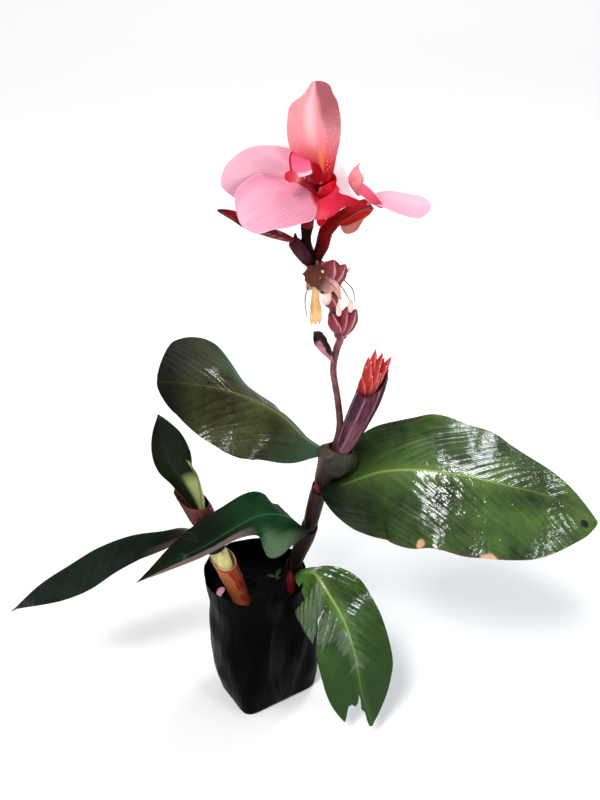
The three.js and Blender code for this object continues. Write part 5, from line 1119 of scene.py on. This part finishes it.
PETALS = {
    "near_petal": ({
        "spine": [[46, -13, 533], [34, -21, 531], [22, -31, 528.5], [10, -39, 525], [-2, -46, 520.5],
                  [-11.2, -50, 517]],
        "face": [[-0.2, -0.8, 0.6], [-0.15, -0.85, 0.5]],
        "width_left": [6, 19, 22, 21, 19, 17.5, 15, 13, 10, 6],
        "width_right": [4, 14, 24, 30, 33, 33, 31, 27, 21, 14],
        "fold_left": [-15, -15], "fold_right": [-5, -5], "curl_left": [-12, -12], "curl_right": [-8, -8],
        "tip": 0.14, "wave": 0.8,
    }, near_skin, "flower_front_petal_near", "petal"),
    "left_petal": ({
        "spine": [[45, -7, 536], [33, -6, 539], [19.9, -6, 542.5], [4.5, -9, 545], [-10.8, -14, 543.5],
                  [-27.4, -21, 538.5]],
        "face": [[-0.2, -0.9, 0.4], [-0.2, -0.9, 0.4]],
        "width_left": [4, 9, 15, 22, 27, 28, 28, 26, 20, 10],
        "width_right": [6, 14, 20, 22, 22.5, 22.5, 22, 19, 14, 8],
        "fold_left": [-25, -25], "fold_right": [-5, -5], "curl_left": [-15, -15], "curl_right": [-12, -12],
        "tip": 0.14, "wave": 0.8,
    }, left_skin, "flower_front_petal_left", "petal"),
    "top_petal": ({
        "spine": [[49.5, -10, 536], [49.5, -11, 548], [48.5, -9.5, 565], [46.2, -8, 583], [44.7, -8, 600],
                  [45.3, -12, 616.2]],
        "face": [[-0.1, -1, 0.1], [-0.1, -1, 0.1], [-0.1, -1, 0]],
        "width_left": [5, 7, 12, 17, 20, 22.5, 24, 24, 23, 21.5, 18.5, 9, 5, 4.5],
        "width_right": [8, 11, 13, 15.5, 19, 21, 21, 19, 14.5, 10.5],
        "fold_left": [-5, -5], "fold_right": [-14, -14], "curl_left": [-8, -8], "curl_right": [-26, -30],
        "tip": 0.1, "wave": 1.0, "waves": 5,
    }, top_skin, "flower_front_petal_top", "petal"),
    "low_petal": ({
        "spine": [[52.2, -12, 535.3], [55.9, -12, 526.7], [61.9, -11.5, 521.2], [72.4, -9, 519.5],
                  [86.7, -6, 517.6]],
        "face": [[0.1, -1, 0.2], [0.1, -1, 0.2]],
        "width_left": [10, 11, 11.5, 11, 10, 8, 6.5, 4, 1], "width_right": [3, 8, 23, 21, 13, 5, 2, 1, 0.5],
        "fold": [-5, -5], "curl": [-8, -8], "tip": 0.06, "wave": 0.5,
    }, low_skin, "flower_front_petal_low", "petal"),
    "rolled_petal": ({
        "spine": [[50, -11, 538], [44.5, -13, 549], [37.5, -19, 560], [34.5, -26, 562], [35, -30, 556],
                  [36.5, -31.5, 549]],
        "face": [[0, -1, 0.1], [-0.1, -1, -0.2], [-0.4, -0.2, -0.9], [-0.2, 0.7, -0.6], [0, 1, -0.2],
                 [0, 1, 0]],
        "width": [4, 7, 8.5, 9, 9], "fold": [0, 0], "curl": [15, 25], "tip": 0.04,
    }, rolled_skin, "flower_front_scroll", "throat"),
    "right_petal": ({
        "spine": [[88, 15, 513], [95, 13.5, 516.5], [104, 12, 517.3], [116, 10, 514.7], [129, 8, 512.8],
                  [141.1, 6, 511.8]],
        "face": [[0, -0.35, 1], [0, -0.35, 1]], "width_left": [3, 8, 12, 16, 17.5, 17.5, 15],
        "width_right": [3, 6, 9, 11, 13, 14, 12], "fold": [-8, -8], "curl": [-8, -8], "tip": 0.18,
    }, right_skin, "flower_back_petal_right", "petal"),
    "pale_petal": ({
        "spine": [[84, 18, 510], [76, 18, 514], [69.5, 19, 520], [65.4, 24, 530], [59.5, 29, 541],
                  [54.5, 32, 551.4]],
        "face": [[0.1, -1, 0.1], [0.1, -1, 0.1]], "width_left": [2, 4, 8, 12, 13.5, 12, 7],
        "width_right": [2, 4, 6, 8, 8.5, 8, 5], "fold": [-5, -5], "curl": [-8, -8], "tip": 0.15,
    }, pale_skin, "flower_back_petal_pale", "petal"),
    "low_back_petal": ({
        "spine": [[94, 15, 509], [88.8, 18, 504], [82.4, 20, 499], [76.4, 20.5, 492], [71.6, 20, 484]],
        "face": [[0, -1, 0.3], [0, -1, 0.3]], "width_left": [2, 4, 5, 7, 8, 7],
        "width_right": [2, 7, 11, 11, 9, 7], "fold": [-5, -5], "curl": [-8, -8], "tip": 0.25,
    }, low_back_skin, "flower_back_petal_low", "petal"),
    "red_strip": ({
        "spine": [[77.2, 9, 529], [82, 9, 526], [88, 8, 521.5], [94, 7, 516.5], [101.9, 6, 510.9]],
        "face": [[-0.3, -0.8, 0.2], [-0.3, -0.8, 0.2]], "width_left": [5, 6, 6, 5, 2],
        "width_right": [3, 3.5, 3.5, 3, 1.5], "fold_left": [0, 0], "fold_right": [-20, -20],
        "curl": [0, 0], "tip": 0.1,
    }, strip_skin, "flower_back_strip", "throat"),
}
for name, (shape, skin, node, slot) in PETALS.items():
    rows, columns = (90, 56) if slot == "petal" else (60, 30)
    make(name, [blade(shape, rows, columns, thin=0.2, vein_pitch=3.5, vein_depth=0.12)], [skin, skin], [node])

FRONT_STAMEN = [[45, -16, 537], [38.7, -22, 539.5], [33.2, -28, 545.7], [27.1, -32, 549], [22, -31.5, 549]]
BACK_STAMEN = [[84, 12.5, 520], [80.4, 11, 527.8], [79.5, 11, 532.8], [78.9, 11, 537.8], [80, 11, 543.6],
               [83.1, 11, 547.7]]
make("front_stamen_curl", [tube(FRONT_STAMEN, [2.4, 2.2, 2.8, 3.8, 4.4, 2.4], flat=0.7, cap=0.06)],
     [stamen_skin], ["flower_front_stamen"])
make("back_stamen_curl", [tube(BACK_STAMEN, [3, 4.6, 6.4, 6.4, 4, 1, 0.2], flat=0.6, cap=0.03)],
     [rolled_bud_skin], ["flower_back_stamen"])

# ---------------------------------------------------------------- sepals
# Narrow pointed sepals stay at the foot of each flower; the aborted left flower keeps one long dark one.
# They are as stiff as a thin leaf and taper to their tips.

# Leathery and a little waxy: dark red on the left one, brighter on the back one, plain crimson in front.
sepal_skin = leaf_skin(
    "dark_red_sepal_skin", "4c060c", "a0141e", "70101a", "2e080c", 0.8, 0.1, 0.4, (0.25, 0.5))
bright_sepal_skin = leaf_skin(
    "bright_red_sepal_skin", "900c0e", "bc2418", "a01414", "c06058", 0.8, 0.1, 0.1, (0.35, 0.5))
crimson_sliver = petal_skin("crimson_sliver_skin", [(0.05, "d00420"), (0.95, "b80418")], satin=0.0)
SEPALS = {
    "left_sepal": ({
        "spine": [[29.5, -5, 486.5], [20.9, -8, 490.3], [8, -11, 495.8], [-6.2, -14, 502.8],
                  [-18.8, -15, 510.7], [-32.1, -16, 516.9]],
        "face": [[-0.2, -0.5, 0.8], [-0.2, -0.5, 0.8]], "width": [2.5, 4.5, 5.5, 6, 5, 3],
        "fold": [10, 10], "curl": [20, 20], "tip": 0.2,
    }, sepal_skin, "flower_left_sepal"),
    "front_sepal": ({
        "spine": [[45.5, -7.5, 516], [49, -8, 512], [51, -7.5, 506], [50.3, -6, 499.6]],
        "face": [[0.1, -1, 0.2], [0.1, -1, 0.2]], "width": [2, 3.5, 4, 3],
        "fold": [10, 10], "curl": [10, 10], "tip": 0.3,
    }, crimson_sliver, "flower_front_sepal"),
    "back_sepal": ({
        "spine": [[66.9, 5, 497], [72.5, 6, 499], [79, 8, 501.4], [86.4, 10, 504.4], [94.3, 11.5, 507]],
        "face": [[0, -1, 0.2], [0, -1, 0.2]], "width": [1.8, 3, 3.2, 2.8, 1.2],
        "fold": [10, 10], "curl": [10, 10], "tip": 0.2,
    }, bright_sepal_skin, "flower_back_sepal"),
}
for name, (shape, skin, node) in SEPALS.items():
    make(name, [blade(shape, 60, 24, thin=0.25, vein_pitch=2.2, vein_depth=0.08)], [skin, skin], [node])

# ---------------------------------------------------------------- on the mix
# A shed petal, still soft but losing its colour, lies where it fell, and one weed seedling has come up: a
# thin stalk with three small leaves.
fallen_skin = petal_skin("fallen_petal_skin", [(0.05, "a05468"), (0.4, "d890a2"), (0.95, "c07c90")])
FALLEN_PETAL = {
    "spine": [[-48.59, -20.66, 114.9], [-46, -11, 115.9], [-43.41, -1.34, 114.9]],
    "face": [[0, -0.2, 1], [0, -0.2, 1]], "width": [1.5, 4, 3], "fold_left": [15, 15],
    "fold_right": [10, 10], "curl": [20, 20], "tip": 0.3, "wave": 0.6,
}
make("shed_petal", [blade(FALLEN_PETAL, 30, 20, thin=0.15, vein_pitch=2, vein_depth=0.1, lift=0.6)],
     [fallen_skin, fallen_skin], ["fallen_petals"])

# Soft dull green of a seedling in the shade.
weed_skin = leaf_skin("weed_leaf_skin", "141f0c", "2e4018", "3c5020", "141f0c", 0.5, 0.2, 0.2, (0.45, 0.6))
WEED_FOOT = np.array([9.5, 12, 110.0])
LEAF_HEIGHT = np.array([0, 0, 8])
weed_parts = [tube([WEED_FOOT, WEED_FOOT + [0, 0, 9]], [0.9, 0.8, 0.7], sides=8, rows=8)]
for turn, length, rise in ((200, 9, 4), (300, 8, 3), (60, 9, 4)):
    way = np.array([math.cos(math.radians(turn)) * length, math.sin(math.radians(turn)) * length, rise])
    leaf = {"spine": [WEED_FOOT + LEAF_HEIGHT + way * s for s in (0.05, 0.5, 1.0)],
            "face": [[0, 0, 1], [0, 0, 1]], "width": [0.8, 2.6, 2], "fold": [5, 5], "curl": [0, 0],
            "tip": 0.3}
    weed_parts.append(blade(leaf, 14, 8, thin=0.15, vein_depth=0.0))
make("weed", weed_parts, [weed_skin, weed_skin], ["weed_seedling"])
